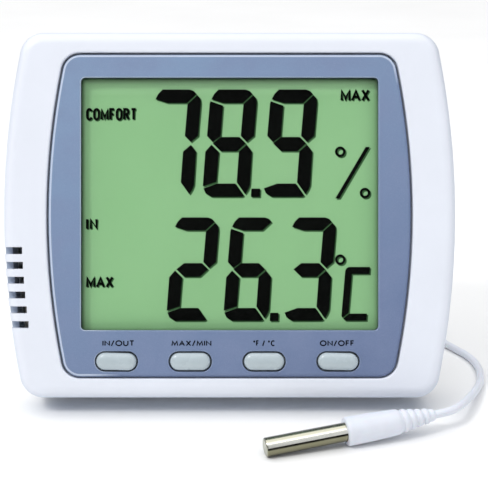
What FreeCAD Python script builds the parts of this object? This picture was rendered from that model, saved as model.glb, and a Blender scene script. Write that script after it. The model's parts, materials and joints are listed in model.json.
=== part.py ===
import FreeCAD, Part
import math
import os
import Sketcher

# A digital maximum minimum thermometer: a bulged case that leans back on a fold-out stand,
# with a window, four buttons, a battery bay and an outdoor probe on a cord.
#
# The case is drawn lying on its back: x to the right, y up the face, z out of the face,
# with z = 0 on the back. stand_up then leans it back in the part's own frame, +Z up, -Y to the front.

V = FreeCAD.Vector
NORMAL = V(0, 0, 1)

# ---------------------------------------------------------------- driving dimensions, millimetres

DIMENSIONS = {
    # case
    "case_width": 125.0,
    "case_height": 101.0,
    "side_bow": 229.0,
    "corner_radius": 6.8,
    "wall": 2.0,
    "seam_depth": 11.0,
    "front_rounding": 3.4,
    "back_rounding": 5.0,
    "lip_height": 1.4,
    "lean": 20.0,
    # bezel panel and its seat
    "panel_width": 100.0,
    "panel_height": 88.9,
    "panel_bottom": 5.9,
    "panel_bow": 205.0,
    "panel_corner": 5.0,
    "panel_thickness": 1.8,
    "panel_inset": 0.6,
    "panel_rounding": 1.1,
    "panel_gap": 0.35,
    "seat_wall": 1.4,
    # window and display
    "window_width": 81.8,
    "window_height": 69.5,
    "window_bottom": 18.8,
    "window_corner": 1.2,
    "lens_overlap": 1.0,
    "lens_thickness": 1.2,
    "glass_overlap": 2.6,
    "glass_plate": 1.0,
    "contact_ledge": 2.8,
    "reflector_thickness": 0.2,
    "frame_wall": 2.8,
    "loose_fit": 0.2,
    # circuit board
    "board_depth": 6.9,
    "board_thickness": 1.2,
    "board_margin": 4.0,
    "board_clearance": 0.6,
    "board_height": 92.4,
    "board_bottom": 4.6,
    "board_screw_x": 43.0,
    "board_screw_low": 8.4,
    "board_screw_high": 95.0,
    "board_screw_radius": 0.85,
    # buttons
    "button_width": 11.0,
    "button_height": 4.7,
    "button_pitch": 20.3,
    "button_shift": -0.65,
    "button_level": 10.25,
    "button_gap": 0.45,
    "button_raise": 1.2,
    "button_travel": 0.5,
    "flange_rim": 0.8,
    "flange_thickness": 0.9,
    "switch_height": 1.5,
    # vents
    "vent_height": 1.9,
    "vent_pitch": 4.06,
    "vent_reach": 5.45,
    "vent_depth": 4.2,
    "vent_low": 20.4,
    # case screws
    "case_screw_gap": 7.0,
    "case_screw_inset": 10.5,
    "case_screw_radius": 1.15,
    # battery bay
    "cell_radius": 5.25,
    "cell_length": 44.5,
    "cell_gap": 0.3,
    "contact_room": 4.6,
    "bay_level": 70.0,
    "bay_wall": 1.2,
    "door_margin": 2.0,
    "door_thickness": 1.2,
    "door_gap": 0.15,
    # stand
    "stand_width": 36.0,
    "stand_thickness": 3.0,
    "hinge_level": 56.0,
    "hinge_inset": 2.0,
    "stand_heel": 3.0,
    "stand_angle": 31.7,
    "stub_radius": 1.2,
    "stub_length": 1.4,
    "foot_rounding": 1.2,
    # hanging hole
    "hook_level": 85.0,
    "hook_radius": 3.75,
    "hook_slot": 3.8,
    "hook_rise": 5.5,
    # cord and probe
    "cord_diameter": 2.2,
    "exit_x": 31.0,
    "exit_level": 17.0,
    "relief_length": 9.0,
    "relief_radius": 2.3,
    "tube_radius": 2.5,
    "tube_length": 22.0,
    "tube_wall": 0.3,
    "sleeve_radius": 3.8,
    "sleeve_length": 25.2,
    "sleeve_grip": 5.0,
}

BUTTONS = ("in_out", "max_min", "unit", "power")
VENTS = 6

doc = FreeCAD.newDocument("thermometer")
sheet = doc.addObject("Spreadsheet::Sheet", "Sizes")
for row, (name, value) in enumerate(DIMENSIONS.items(), 1):
    sheet.set(f"A{row}", name)
    sheet.set(f"B{row}", str(value))
    sheet.setAlias(f"B{row}", name)
doc.recompute()


class Size:
    """A length that carries the sheet formula it comes from."""

    def __init__(self, value, formula):
        self.value = value
        self.formula = formula

    def joined(self, other, sign, value, swap=False):
        left, right = self.formula, as_size(other).formula
        if swap:
            left, right = right, left
        return Size(value, f"({left} {sign} {right})")

    def __add__(self, other):
        return self.joined(other, "+", self.value + as_size(other).value)

    def __sub__(self, other):
        return self.joined(other, "-", self.value - as_size(other).value)

    def __mul__(self, other):
        return self.joined(other, "*", self.value * as_size(other).value)

    def __truediv__(self, other):
        return self.joined(other, "/", self.value / as_size(other).value)

    def __rsub__(self, other):
        return self.joined(other, "-", as_size(other).value - self.value, swap=True)

    def __neg__(self):
        return Size(-self.value, f"(0 - {self.formula})")

    __radd__ = __add__
    __rmul__ = __mul__


def as_size(number):
    """A plain number as a Size, so that formulas may mix the two."""
    if isinstance(number, Size):
        return number
    return Size(float(number), f"{float(number):.6g}")


def root(size):
    return Size(math.sqrt(size.value), f"sqrt({size.formula})")


class Named:
    """S.case_width is the sheet's case_width, and so on for each dimension."""

    def __init__(self):
        for key, number in DIMENSIONS.items():
            setattr(self, key, Size(number, f"Sizes.{key}"))


S = Named()

# ---------------------------------------------------------------- places that several pieces share

# the depth is what the display, the board, the bay's wall, the cell and the door add up to
BAY_FLOOR = S.door_thickness + 0.1 + 2 * (S.cell_radius + 0.15)
DEPTH = S.board_depth + S.board_thickness + S.board_clearance + S.bay_wall + BAY_FLOOR
SEAM = DEPTH - S.seam_depth
MID = S.case_height / 2
PANEL_FRONT = DEPTH - S.panel_inset
PANEL_BACK = PANEL_FRONT - S.panel_thickness
PANEL_MID = S.panel_bottom + S.panel_height / 2
SEAT_BACK = PANEL_BACK - S.seat_wall
WINDOW_MID = S.window_bottom + S.window_height / 2
GLASS_FRONT = PANEL_BACK - S.lens_thickness - S.loose_fit
GLASS_WIDTH = S.window_width + 2 * S.glass_overlap
GLASS_HEIGHT = S.window_height + 2 * S.glass_overlap
BOARD_FRONT = DEPTH - S.board_depth
BOARD_BACK = BOARD_FRONT - S.board_thickness
BOARD_WIDTH = GLASS_WIDTH + 2 * S.board_margin
BOARD_MID = S.board_bottom + S.board_height / 2
SCREW_LEVELS = (S.case_screw_inset, S.case_height - S.case_screw_inset)
SCREW_RISE = MID - S.case_screw_inset
SCREW_X = root(S.side_bow * S.side_bow - SCREW_RISE * SCREW_RISE) - S.side_bow + S.case_width / 2 - S.case_screw_gap
BOARD_SCREW_LEVELS = (S.board_screw_low, S.board_screw_high)
FLANGE_FRONT = SEAT_BACK - 0.1
BAY_HALF = S.cell_length / 2 + S.contact_room
BAY_SIDE = S.cell_radius + S.cell_gap
CELL_AXIS = S.door_thickness + 0.1 + S.cell_radius + 0.1
DOOR_WIDTH = 2 * (BAY_HALF + S.door_margin)
DOOR_HEIGHT = 2 * (BAY_SIDE + S.door_margin)
LIP = S.wall / 2
RECESS_HALF = S.stand_width / 2 + 0.3
RECESS_FLOOR = S.hinge_inset + S.stand_thickness / 2 + 0.3
SENSOR_X = -(S.case_width / 2 - 4.4)
SENSOR_LEVEL = S.vent_low + 2.5 * S.vent_pitch


def button_x(index):
    """The buttons stand on an even pitch about a centre a little left of the case's."""
    return S.button_shift + (index - 1.5) * S.button_pitch


# ---------------------------------------------------------------- sketches and features

def bind(target, name, size):
    target.setExpression(name, as_size(size).formula)


def new_body(name):
    body = doc.addObject("PartDesign::Body", name)
    body.Label = name
    return body


def new_sketch(body, name, level, role="XY_Plane"):
    """A sketch on one of the body's own origin planes, raised by level along its normal."""
    plane = [item for item in body.Origin.OriginFeatures if item.Role == role][0]
    sketch = body.newObject("Sketcher::SketchObject", name)
    sketch.AttachmentSupport = [(plane, "")]
    sketch.MapMode = "FlatFace"
    bind(sketch, "AttachmentOffset.Base.z", level)
    return sketch


def limit(sketch, kind, *terms):
    """Add a constraint; a Size as the last term becomes the bound value."""
    if not isinstance(terms[-1], Size):
        sketch.addConstraint(Sketcher.Constraint(kind, *terms))
        return
    index = sketch.addConstraint(Sketcher.Constraint(kind, *terms[:-1], terms[-1].value))
    bind(sketch, f"Constraints[{index}]", terms[-1])


ORIGIN = (-1, 1)


def fix_x(sketch, edge, point, x):
    limit(sketch, "DistanceX", *ORIGIN, edge, point, as_size(x))


def fix_y(sketch, edge, point, y):
    limit(sketch, "DistanceY", *ORIGIN, edge, point, as_size(y))


def draw_circle(sketch, x, y, radius):
    x, y, radius = as_size(x), as_size(y), as_size(radius)
    circle = Part.Circle(V(x.value, y.value, 0), NORMAL, radius.value)
    edge = sketch.addGeometry(circle, False)
    fix_x(sketch, edge, 3, x)
    fix_y(sketch, edge, 3, y)
    limit(sketch, "Radius", edge, radius)


def draw_polygon(sketch, corners):
    """A closed outline of straight edges through the corners."""
    corners = [(as_size(x), as_size(y)) for x, y in corners]
    count = len(corners)
    edges = []
    for index in range(count):
        start, end = corners[index], corners[(index + 1) % count]
        line = Part.LineSegment(V(start[0].value, start[1].value, 0), V(end[0].value, end[1].value, 0))
        edges.append(sketch.addGeometry(line, False))
    for index in range(count):
        limit(sketch, "Coincident", edges[index - 1], 2, edges[index], 1)
        fix_x(sketch, edges[index], 1, corners[index][0])
        fix_y(sketch, edges[index], 1, corners[index][1])


def arc_of(x, y, radius, start, end):
    return Part.ArcOfCircle(Part.Circle(V(x, y, 0), NORMAL, radius), start, end)


def draw_box(sketch, x, y, width, height):
    """A rectangle about its centre."""
    x, y = as_size(x), as_size(y)
    across, up = as_size(width) / 2, as_size(height) / 2
    draw_polygon(sketch, [(x - across, y - up), (x + across, y - up), (x + across, y + up), (x - across, y + up)])


def draw_pill(sketch, x, y, width, height):
    """A slot with round ends, lying along x."""
    radius = as_size(height) / 2
    reach = as_size(width) / 2 - radius
    left, right = as_size(x) - reach, as_size(x) + reach
    level = as_size(y)
    r, low, high = radius.value, level.value - radius.value, level.value + radius.value
    quarter = math.pi / 2
    top = Part.LineSegment(V(left.value, high, 0), V(right.value, high, 0))
    bottom = Part.LineSegment(V(right.value, low, 0), V(left.value, low, 0))
    east = arc_of(right.value, level.value, r, -quarter, quarter)
    west = arc_of(left.value, level.value, r, quarter, 3 * quarter)
    first, second, third, fourth = sketch.addGeometry([top, bottom, east, west], False)
    limit(sketch, "Tangent", first, 2, third, 2)
    limit(sketch, "Tangent", third, 1, second, 1)
    limit(sketch, "Tangent", second, 2, fourth, 2)
    limit(sketch, "Tangent", fourth, 1, first, 1)
    limit(sketch, "Equal", third, fourth)
    limit(sketch, "Horizontal", first)
    limit(sketch, "Radius", third, radius)
    fix_x(sketch, third, 3, right)
    fix_x(sketch, fourth, 3, left)
    fix_y(sketch, third, 3, level)


def draw_barrel(sketch, y, width, height, bow, corner):
    """An outline with straight top and bottom, bulging sides and round corners, centred on x = 0."""
    y, width, height, bow, corner = (as_size(item) for item in (y, width, height, bow, corner))
    offset = bow - width / 2
    c, big, small, up, level = offset.value, bow.value, corner.value, height.value / 2, y.value
    across = math.sqrt((big - small) ** 2 - (up - small) ** 2)
    turn = math.asin((up - small) / (big - small))
    half = across - c
    quarter = math.pi / 2
    lines = [Part.LineSegment(V(-half, level + up, 0), V(half, level + up, 0)),
             Part.LineSegment(V(half, level - up, 0), V(-half, level - up, 0))]
    sides = [arc_of(-c, level, big, -turn, turn), arc_of(c, level, big, math.pi - turn, math.pi + turn)]
    corners = [arc_of(half, level + up - small, small, turn, quarter),
               arc_of(half, level - up + small, small, -quarter, -turn),
               arc_of(-half, level - up + small, small, math.pi + turn, 3 * quarter),
               arc_of(-half, level + up - small, small, quarter, math.pi - turn)]
    top, bottom, east, west, ne, se, sw, nw = sketch.addGeometry(lines + sides + corners, False)
    for edge, end, other, start in ((top, 2, ne, 2), (ne, 1, east, 2), (east, 1, se, 2), (se, 1, bottom, 1),
                                    (bottom, 2, sw, 2), (sw, 1, west, 2), (west, 1, nw, 2), (nw, 1, top, 1)):
        limit(sketch, "Tangent", edge, end, other, start)
    for edge in (se, sw, nw):
        limit(sketch, "Equal", ne, edge)
    limit(sketch, "Radius", ne, corner)
    limit(sketch, "Horizontal", top)
    limit(sketch, "Horizontal", bottom)
    for edge, x in ((east, -offset), (west, offset)):
        fix_x(sketch, edge, 3, x)
        fix_y(sketch, edge, 3, y)
        limit(sketch, "Radius", edge, bow)
    fix_y(sketch, top, 1, y + height / 2)
    fix_y(sketch, bottom, 1, y - height / 2)


def side_edge(level):
    """How far the case's bowed side is from its middle line, at a level up the face."""
    rise = level - MID
    return S.case_width / 2 - S.side_bow + root(S.side_bow * S.side_bow - rise * rise)


def case_outline(inset):
    """The case's outline, drawn in by inset all round."""
    return (draw_barrel, MID, S.case_width - 2 * inset, S.case_height - 2 * inset, S.side_bow - inset,
            S.corner_radius - inset)


def panel_outline(outset):
    """The bezel panel's outline, drawn out by outset all round."""
    return (draw_barrel, PANEL_MID, S.panel_width + 2 * outset, S.panel_height + 2 * outset,
            S.panel_bow + outset, S.panel_corner + outset)


def pad(body, name, low, high, *profiles):
    """Add material between two levels over profiles, each a draw function and its sizes."""
    sketch = new_sketch(body, name + "_outline", low)
    for draw, *sizes in profiles:
        draw(sketch, *sizes)
    feature = body.newObject("PartDesign::Pad", name)
    feature.Profile = sketch
    bind(feature, "Length", as_size(high) - low)
    doc.recompute()
    return feature


def pocket(body, name, low, high, *profiles):
    """Cut between two levels, and make sure that something was cut."""
    before = body.Shape.Volume
    sketch = new_sketch(body, name + "_outline", low)
    for draw, *sizes in profiles:
        draw(sketch, *sizes)
    feature = body.newObject("PartDesign::Pocket", name)
    feature.Profile = sketch
    feature.Reversed = True
    bind(feature, "Length", as_size(high) - low)
    doc.recompute()
    if body.Shape.Volume >= before - 1e-6:
        raise ValueError(f"{name} cuts nothing")
    return feature


def round_edges(body, name, radius, wanted):
    """Fillet the edges of the body's last feature that wanted picks out."""
    base = body.Tip
    names = [f"Edge{i + 1}" for i, edge in enumerate(base.Shape.Edges) if wanted(edge)]
    if not names:
        raise ValueError(f"{name} found no edge")
    fillet = body.newObject("PartDesign::Fillet", name)
    fillet.Base = (base, names)
    bind(fillet, "Radius", radius)
    doc.recompute()
    return fillet


def near(a, b):
    return abs(a - as_size(b).value) < 0.02


def upright(edge):
    """A straight edge along z."""
    box = edge.BoundBox
    return box.XLength + box.YLength < 0.01 and box.ZLength > 0.1


def flat_at(level):
    """A test for edges that lie in the plane at one level."""
    return lambda edge: near(edge.BoundBox.ZMin, level) and near(edge.BoundBox.ZMax, level)


def grid(xs, ys):
    return [(x, y) for x in xs for y in ys]


def mirrored_x(size, ys):
    return grid((-size, size), ys)


NODES = {}


def keep(obj, name):
    """Count an object as one of the finished pieces."""
    obj.Label = name
    NODES[name] = obj
    return obj


def round_bar(name, x, y, low, high, radius):
    """A plain cylinder along z."""
    bar = doc.addObject("Part::Cylinder", name)
    bind(bar, "Radius", radius)
    bind(bar, "Height", as_size(high) - low)
    bind(bar, "Placement.Base.x", x)
    bind(bar, "Placement.Base.y", y)
    bind(bar, "Placement.Base.z", low)
    return bar


def block(name, x, y, low, high, width, height):
    """A plain block, centred in x and y."""
    box = doc.addObject("Part::Box", name)
    bind(box, "Length", width)
    bind(box, "Width", height)
    bind(box, "Height", as_size(high) - low)
    bind(box, "Placement.Base.x", as_size(x) - as_size(width) / 2)
    bind(box, "Placement.Base.y", as_size(y) - as_size(height) / 2)
    bind(box, "Placement.Base.z", low)
    return box


def group(name, pieces):
    """Separate solids that share one node."""
    compound = doc.addObject("Part::Compound", name)
    compound.Links = pieces
    return keep(compound, name)


def cut(name, base, tool):
    result = doc.addObject("Part::Cut", name)
    result.Base = base
    result.Tool = tool
    return result


# ---------------------------------------------------------------- casings

def front_housing():
    body = new_body("front_housing")
    pad(body, "shell", SEAM, DEPTH, case_outline(0))
    round_edges(body, "crest", S.front_rounding, flat_at(DEPTH))
    pocket(body, "cavity", SEAM, DEPTH - S.wall, case_outline(S.wall))
    pocket(body, "lip_groove", SEAM, SEAM + S.lip_height + 0.2, case_outline(S.wall - LIP + 0.1))
    pad(body, "seat", SEAT_BACK, DEPTH - S.wall + 0.3, panel_outline(S.panel_gap + S.seat_wall))
    pocket(body, "panel_recess", PANEL_BACK, DEPTH + 1, panel_outline(S.panel_gap))

    def recess_rim(edge):
        middle = edge.CenterOfMass
        across = abs(middle.x) < S.panel_width.value / 2 + 1
        return flat_at(DEPTH)(edge) and across and abs(middle.y - PANEL_MID.value) < S.panel_height.value / 2 + 1

    round_edges(body, "recess_rim", 0.35, recess_rim)
    window = (draw_box, 0, WINDOW_MID, S.window_width + 2 * S.lens_overlap + 0.4,
              S.window_height + 2 * S.lens_overlap + 0.4)
    pocket(body, "window_opening", SEAT_BACK - 1, PANEL_BACK + 0.1, window)
    holes = [(draw_pill, button_x(i), S.button_level, S.button_width + 2 * S.button_gap,
              S.button_height + 2 * S.button_gap) for i in range(len(BUTTONS))]
    pocket(body, "button_openings", SEAT_BACK - 1, PANEL_BACK + 0.1, *holes)
    board_posts = mirrored_x(S.board_screw_x, BOARD_SCREW_LEVELS)
    pad(body, "board_posts", BOARD_FRONT, SEAT_BACK + 0.2, *[(draw_circle, x, y, 2.1) for x, y in board_posts])
    case_posts = mirrored_x(SCREW_X, SCREW_LEVELS)
    pad(body, "case_posts", SEAM, DEPTH - S.wall + 0.2, *[(draw_circle, x, y, 3.2) for x, y in case_posts])
    pocket(body, "board_screw_holes", BOARD_FRONT - 1, SEAT_BACK - 0.5,
           *[(draw_circle, x, y, S.board_screw_radius) for x, y in board_posts])
    pocket(body, "case_screw_holes", SEAM - 1, DEPTH - S.wall - 1.5,
           *[(draw_circle, x, y, S.case_screw_radius) for x, y in case_posts])
    slots = []
    for i in range(VENTS):
        level = S.vent_low + S.vent_pitch * i
        inner = S.vent_reach - side_edge(level)
        outer = -(S.case_width / 2) - 1
        slots.append((draw_box, (inner + outer) / 2, level, inner - outer, S.vent_height))
    pocket(body, "vents", DEPTH - S.vent_depth, DEPTH + 1, *slots)
    return keep(body, "front_housing")


def rear_housing():
    body = new_body("rear_housing")
    pad(body, "back_shell", 0, SEAM, case_outline(0))
    round_edges(body, "back_edges", S.back_rounding, flat_at(0))
    pocket(body, "back_cavity", S.wall, SEAM + 1, case_outline(S.wall))
    # a lip stands up inside the seam
    pad(body, "lip", SEAM - 0.8, SEAM + S.lip_height, case_outline(S.wall - LIP + 0.2), case_outline(S.wall + 0.2))
    posts = mirrored_x(SCREW_X, SCREW_LEVELS)
    pad(body, "screw_posts", S.wall / 2, SEAM, *[(draw_circle, x, y, 3.6) for x, y in posts])
    recess_top = S.hinge_level + S.stand_heel + 1.2
    recess_low = Size(2.8, "2.8")
    recess_tall = recess_top - recess_low
    recess_mid = (recess_top + recess_low) / 2
    side = S.bay_wall + 0.6
    pad(body, "recess_box", S.wall / 2, RECESS_FLOOR + S.bay_wall,
        (draw_box, 0, recess_mid, 2 * (RECESS_HALF + side), recess_tall + 2 * S.bay_wall - 0.2))
    heel_floor = heel_reach() + 0.12
    heel_mid = S.hinge_level + 0.6
    heel_tall = 2 * (S.stand_heel + 0.6)
    pad(body, "heel_box", S.wall, heel_floor + S.bay_wall,
        (draw_box, 0, heel_mid, 2 * (RECESS_HALF + side), heel_tall + 2 * S.bay_wall))
    pad(body, "bay_box", S.wall / 2, BAY_FLOOR + S.bay_wall,
        (draw_box, 0, S.bay_level, 2 * (BAY_HALF + S.bay_wall), 2 * (BAY_SIDE + S.bay_wall)))
    door_seat = S.door_thickness + 0.1
    pad(body, "door_seat", S.wall / 2, door_seat + 1.3,
        (draw_box, 0, S.bay_level, DOOR_WIDTH + 2.4, DOOR_HEIGHT + 2.4))
    pocket(body, "stand_recess", -1, RECESS_FLOOR,
           (draw_box, 0, recess_mid, 2 * RECESS_HALF, recess_tall))
    pocket(body, "heel_recess", -1, heel_floor, (draw_box, 0, heel_mid, 2 * RECESS_HALF, heel_tall))
    pocket(body, "battery_bay", -1, BAY_FLOOR, (draw_box, 0, S.bay_level, 2 * BAY_HALF, 2 * BAY_SIDE))
    pocket(body, "door_recess", -1, door_seat,
           (draw_box, 0, S.bay_level, DOOR_WIDTH + 2 * S.door_gap, DOOR_HEIGHT + 2 * S.door_gap))
    tongue_low = S.bay_level - DOOR_HEIGHT / 2 - 1.4
    tongue_tall = S.door_margin + 2.4
    pocket(body, "tongue_slots", 0.5, door_seat + 1.2,
           *[(draw_box, x, tongue_low + tongue_tall / 2, 6.6, tongue_tall) for x in (-15, 15)])
    pocket(body, "door_nick", -1, 1.1,
           (draw_box, 0, S.bay_level + DOOR_HEIGHT / 2 + 1.0, 12, 2.6))
    pocket(body, "screw_wells", -1, SEAM - 4.5, *[(draw_circle, x, y, 2.6) for x, y in posts])
    pocket(body, "screw_ways", 1, SEAM + 1, *[(draw_circle, x, y, 1.4) for x, y in posts])
    pocket(body, "hook_hole", -1, S.wall + 1, (draw_circle, 0, S.hook_level, S.hook_radius))
    rise = S.hook_rise
    pocket(body, "hook_slot", -1, S.wall + 1, (draw_box, 0, S.hook_level + rise / 2, S.hook_slot, rise))
    pocket(body, "hook_end", -1, S.wall + 1, (draw_circle, 0, S.hook_level + rise, S.hook_slot / 2))
    pocket(body, "cord_hole", -1, S.wall + 1, (draw_circle, S.exit_x, S.exit_level, S.relief_radius + 0.05))
    slots = [(draw_pill, -42, 22 + 4 * i, 12, 1.6) for i in range(6)]
    pocket(body, "back_vents", -1, S.wall + 1, *slots)
    # the stand's stubs turn in blind sockets in the recess walls
    sketch = new_sketch(body, "socket_outline", -(RECESS_HALF + S.stub_length), "YZ_Plane")
    draw_circle(sketch, S.hinge_level, S.hinge_inset, S.stub_radius + 0.05)
    sockets = body.newObject("PartDesign::Pocket", "stub_sockets")
    sockets.Profile = sketch
    sockets.Reversed = True
    bind(sockets, "Length", 2 * (RECESS_HALF + S.stub_length))
    doc.recompute()
    return keep(body, "rear_housing")


def heel_reach():
    """How deep the stand's heel reaches behind the back plane when the stand is fully out."""
    turn = Size(math.cos(math.radians(S.stand_angle.value)), "cos(Sizes.stand_angle * 1deg)")
    lean = Size(math.sin(math.radians(S.stand_angle.value)), "sin(Sizes.stand_angle * 1deg)")
    return S.hinge_inset + (S.stand_thickness / 2) * turn + S.stand_heel * lean


def bezel_panel():
    body = new_body("bezel_panel")
    pad(body, "plate", PANEL_BACK, PANEL_FRONT, panel_outline(0))
    round_edges(body, "plate_edge", S.panel_rounding, flat_at(PANEL_FRONT))
    pocket(body, "plate_window", PANEL_BACK - 1, PANEL_FRONT + 1,
           (draw_box, 0, WINDOW_MID, S.window_width, S.window_height))

    def window_corner(edge):
        return upright(edge) and near(abs(edge.CenterOfMass.x), S.window_width / 2)

    round_edges(body, "window_corners", S.window_corner, window_corner)
    holes = [(draw_pill, button_x(i), S.button_level, S.button_width + 2 * S.button_gap,
              S.button_height + 2 * S.button_gap) for i in range(len(BUTTONS))]
    pocket(body, "plate_buttons", PANEL_BACK - 1, PANEL_FRONT + 1, *holes)

    def opening_rim(edge):
        inside = abs(edge.CenterOfMass.x) < S.window_width.value / 2 + 0.1
        box = edge.BoundBox
        below_top = box.YMax < (S.window_bottom + S.window_height).value + 0.1
        return flat_at(PANEL_FRONT)(edge) and inside and below_top and box.YMin > S.panel_bottom.value + 1.3

    round_edges(body, "opening_rims", 0.2, opening_rim)
    return keep(body, "bezel_panel")


# ---------------------------------------------------------------- window and display

def display():
    lens = block("lens_plate", 0, WINDOW_MID, PANEL_BACK - S.lens_thickness, PANEL_BACK,
                 S.window_width + 2 * S.lens_overlap, S.window_height + 2 * S.lens_overlap)
    group("window_lens", [lens])
    body = new_body("lcd_glass")
    pad(body, "front_plate", GLASS_FRONT - S.glass_plate, GLASS_FRONT,
        (draw_box, 0, WINDOW_MID, GLASS_WIDTH, GLASS_HEIGHT))
    back_tall = GLASS_HEIGHT - 2 * S.contact_ledge
    pad(body, "rear_plate", GLASS_FRONT - 1.9 * S.glass_plate, GLASS_FRONT - S.glass_plate,
        (draw_box, 0, WINDOW_MID, GLASS_WIDTH, back_tall))
    keep(body, "lcd_glass")
    glass_back = GLASS_FRONT - 1.9 * S.glass_plate
    reflector = block("reflector_film", 0, WINDOW_MID, glass_back - S.reflector_thickness, glass_back,
                      GLASS_WIDTH - 1, back_tall - 0.6)
    group("lcd_reflector", [reflector])
    frame = new_body("lcd_frame")
    front = SEAT_BACK - 0.05
    inner_width, inner_tall = GLASS_WIDTH + 2 * S.loose_fit, GLASS_HEIGHT + 2 * S.loose_fit
    pad(frame, "frame_ring", BOARD_FRONT, front,
        (draw_box, 0, WINDOW_MID, inner_width + 2 * S.frame_wall, inner_tall + 2 * (S.frame_wall - 1.5)),
        (draw_box, 0, WINDOW_MID, inner_width, inner_tall))
    # bars keep each strip on its contact ledge
    strip_back = GLASS_FRONT - S.glass_plate
    bar = WINDOW_MID - back_tall / 2 - 0.2
    for name, level in (("low_bar", bar + 0.75), ("high_bar", 2 * WINDOW_MID - bar - 0.75)):
        pad(frame, name, BOARD_FRONT, glass_back - S.reflector_thickness - 0.1,
            (draw_box, 0, level, inner_width + 0.4, 1.0))
    keep(frame, "lcd_frame")
    ledge = GLASS_HEIGHT / 2 - S.contact_ledge / 2
    strips = [block(f"zebra_{i}", 0, WINDOW_MID + side * ledge, BOARD_FRONT, strip_back, GLASS_WIDTH - 4, 1.8)
              for i, side in enumerate((-1, 1))]
    group("zebra_strips", strips)


# ---------------------------------------------------------------- circuit board

def electronics():
    board = new_body("circuit_board")
    pad(board, "board_plate", BOARD_BACK, BOARD_FRONT, (draw_box, 0, BOARD_MID, BOARD_WIDTH, S.board_height))
    screws = mirrored_x(S.board_screw_x, BOARD_SCREW_LEVELS)
    pocket(board, "board_holes", BOARD_BACK - 1, BOARD_FRONT + 1, *[(draw_circle, x, y, 1.0) for x, y in screws])
    keep(board, "circuit_board")

    blob = doc.addObject("Part::Sphere", "chip_dome")
    dome = Size(11.0, "11")
    bind(blob, "Radius", dome)
    bind(blob, "Placement.Base.x", -18)
    bind(blob, "Placement.Base.y", 40)
    bind(blob, "Placement.Base.z", BOARD_BACK + dome - 1.5)
    room = block("chip_room", -18, 40, BOARD_BACK - 3, BOARD_BACK, 14, 14)
    chip = doc.addObject("Part::Common", "chip_blob")
    chip.Base = blob
    chip.Tool = room
    group("controller_chip", [chip])

    crystal = doc.addObject("Part::Cylinder", "crystal_can")
    bind(crystal, "Radius", 1.0)
    bind(crystal, "Height", 6.0)
    lie_along_x(crystal, -34, 30, BOARD_BACK - 1.0)
    group("quartz_crystal", [crystal])

    spots = [(-30 + 7 * (i % 5), 8 + 6 * (i // 5)) for i in range(10)] + [(30, 26 + 5 * i) for i in range(5)]
    chips = [block(f"passive_{i}", x, y, BOARD_BACK - 0.8, BOARD_BACK, 2.0, 1.25) for i, (x, y) in enumerate(spots)]
    group("passive_components", chips)


def screw(name, x, y, head_low, head_height, head_radius, tip, shank_radius):
    """A pan-head screw that points out of the face, with a cross recess."""
    head = round_bar(name + "_head", x, y, head_low, head_low + head_height, head_radius)
    shank = round_bar(name + "_shank", x, y, head_low + head_height, tip, shank_radius)
    body = doc.addObject("Part::Fuse", name + "_blank")
    body.Base = head
    body.Tool = shank
    wide = block(name + "_slot", x, y, head_low - 1, head_low + head_height / 2, head_radius * 1.2, head_radius / 4)
    tall = block(name + "_cross", x, y, head_low - 1, head_low + head_height / 2, head_radius / 4, head_radius * 1.2)
    cross = doc.addObject("Part::Fuse", name + "_recess")
    cross.Base = wide
    cross.Tool = tall
    return cut(name, body, cross)


def fasteners():
    well = SEAM - 4.5
    case_set = [screw(f"case_screw_{i}", x, y, well - 1.8, as_size(1.8), as_size(2.3),
                      DEPTH - S.wall - 2.5, S.case_screw_radius - 0.02)
                for i, (x, y) in enumerate(mirrored_x(SCREW_X, SCREW_LEVELS))]
    group("case_screws", case_set)
    board_set = [screw(f"board_screw_{i}", x, y, BOARD_BACK - 1.2, as_size(1.2), as_size(1.7),
                       SEAT_BACK - 1.0, S.board_screw_radius - 0.02)
                 for i, (x, y) in enumerate(mirrored_x(S.board_screw_x, BOARD_SCREW_LEVELS))]
    group("board_screws", board_set)


# ---------------------------------------------------------------- buttons

def buttons():
    """Each cap has a flange behind the panel's seat, and rests on a plunger that sinks into a switch."""
    switch_top = BOARD_FRONT + S.switch_height
    switches = []
    for index, label in enumerate(BUTTONS):
        x = button_x(index)
        body = new_body(f"button_{label}")
        flange_back = FLANGE_FRONT - S.flange_thickness
        rim = 2 * (S.button_gap + S.flange_rim)
        pad(body, f"flange_{label}", flange_back, FLANGE_FRONT,
            (draw_pill, x, S.button_level, S.button_width + rim, S.button_height + rim))
        pad(body, f"cap_{label}", FLANGE_FRONT - 0.1, PANEL_FRONT + S.button_raise,
            (draw_pill, x, S.button_level, S.button_width, S.button_height))
        round_edges(body, f"crown_{label}", 0.7, flat_at(PANEL_FRONT + S.button_raise))
        keep(body, f"button_{label}")
        low = BOARD_FRONT + S.button_travel + 0.2
        plunger = block(f"plunger_pin_{label}", x, S.button_level, low, flange_back, 2.4, 1.6)
        group(f"plunger_{label}", [plunger])
        case = block(f"switch_case_{label}", x, S.button_level, BOARD_FRONT, switch_top, 6.0, 3.6)
        well = block(f"switch_well_{label}", x, S.button_level, BOARD_FRONT + 0.15, switch_top + 1, 2.5, 1.7)
        switches.append(cut(f"switch_{label}", case, well))
    group("tact_switches", switches)


# ---------------------------------------------------------------- air sensors behind the vents

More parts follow.
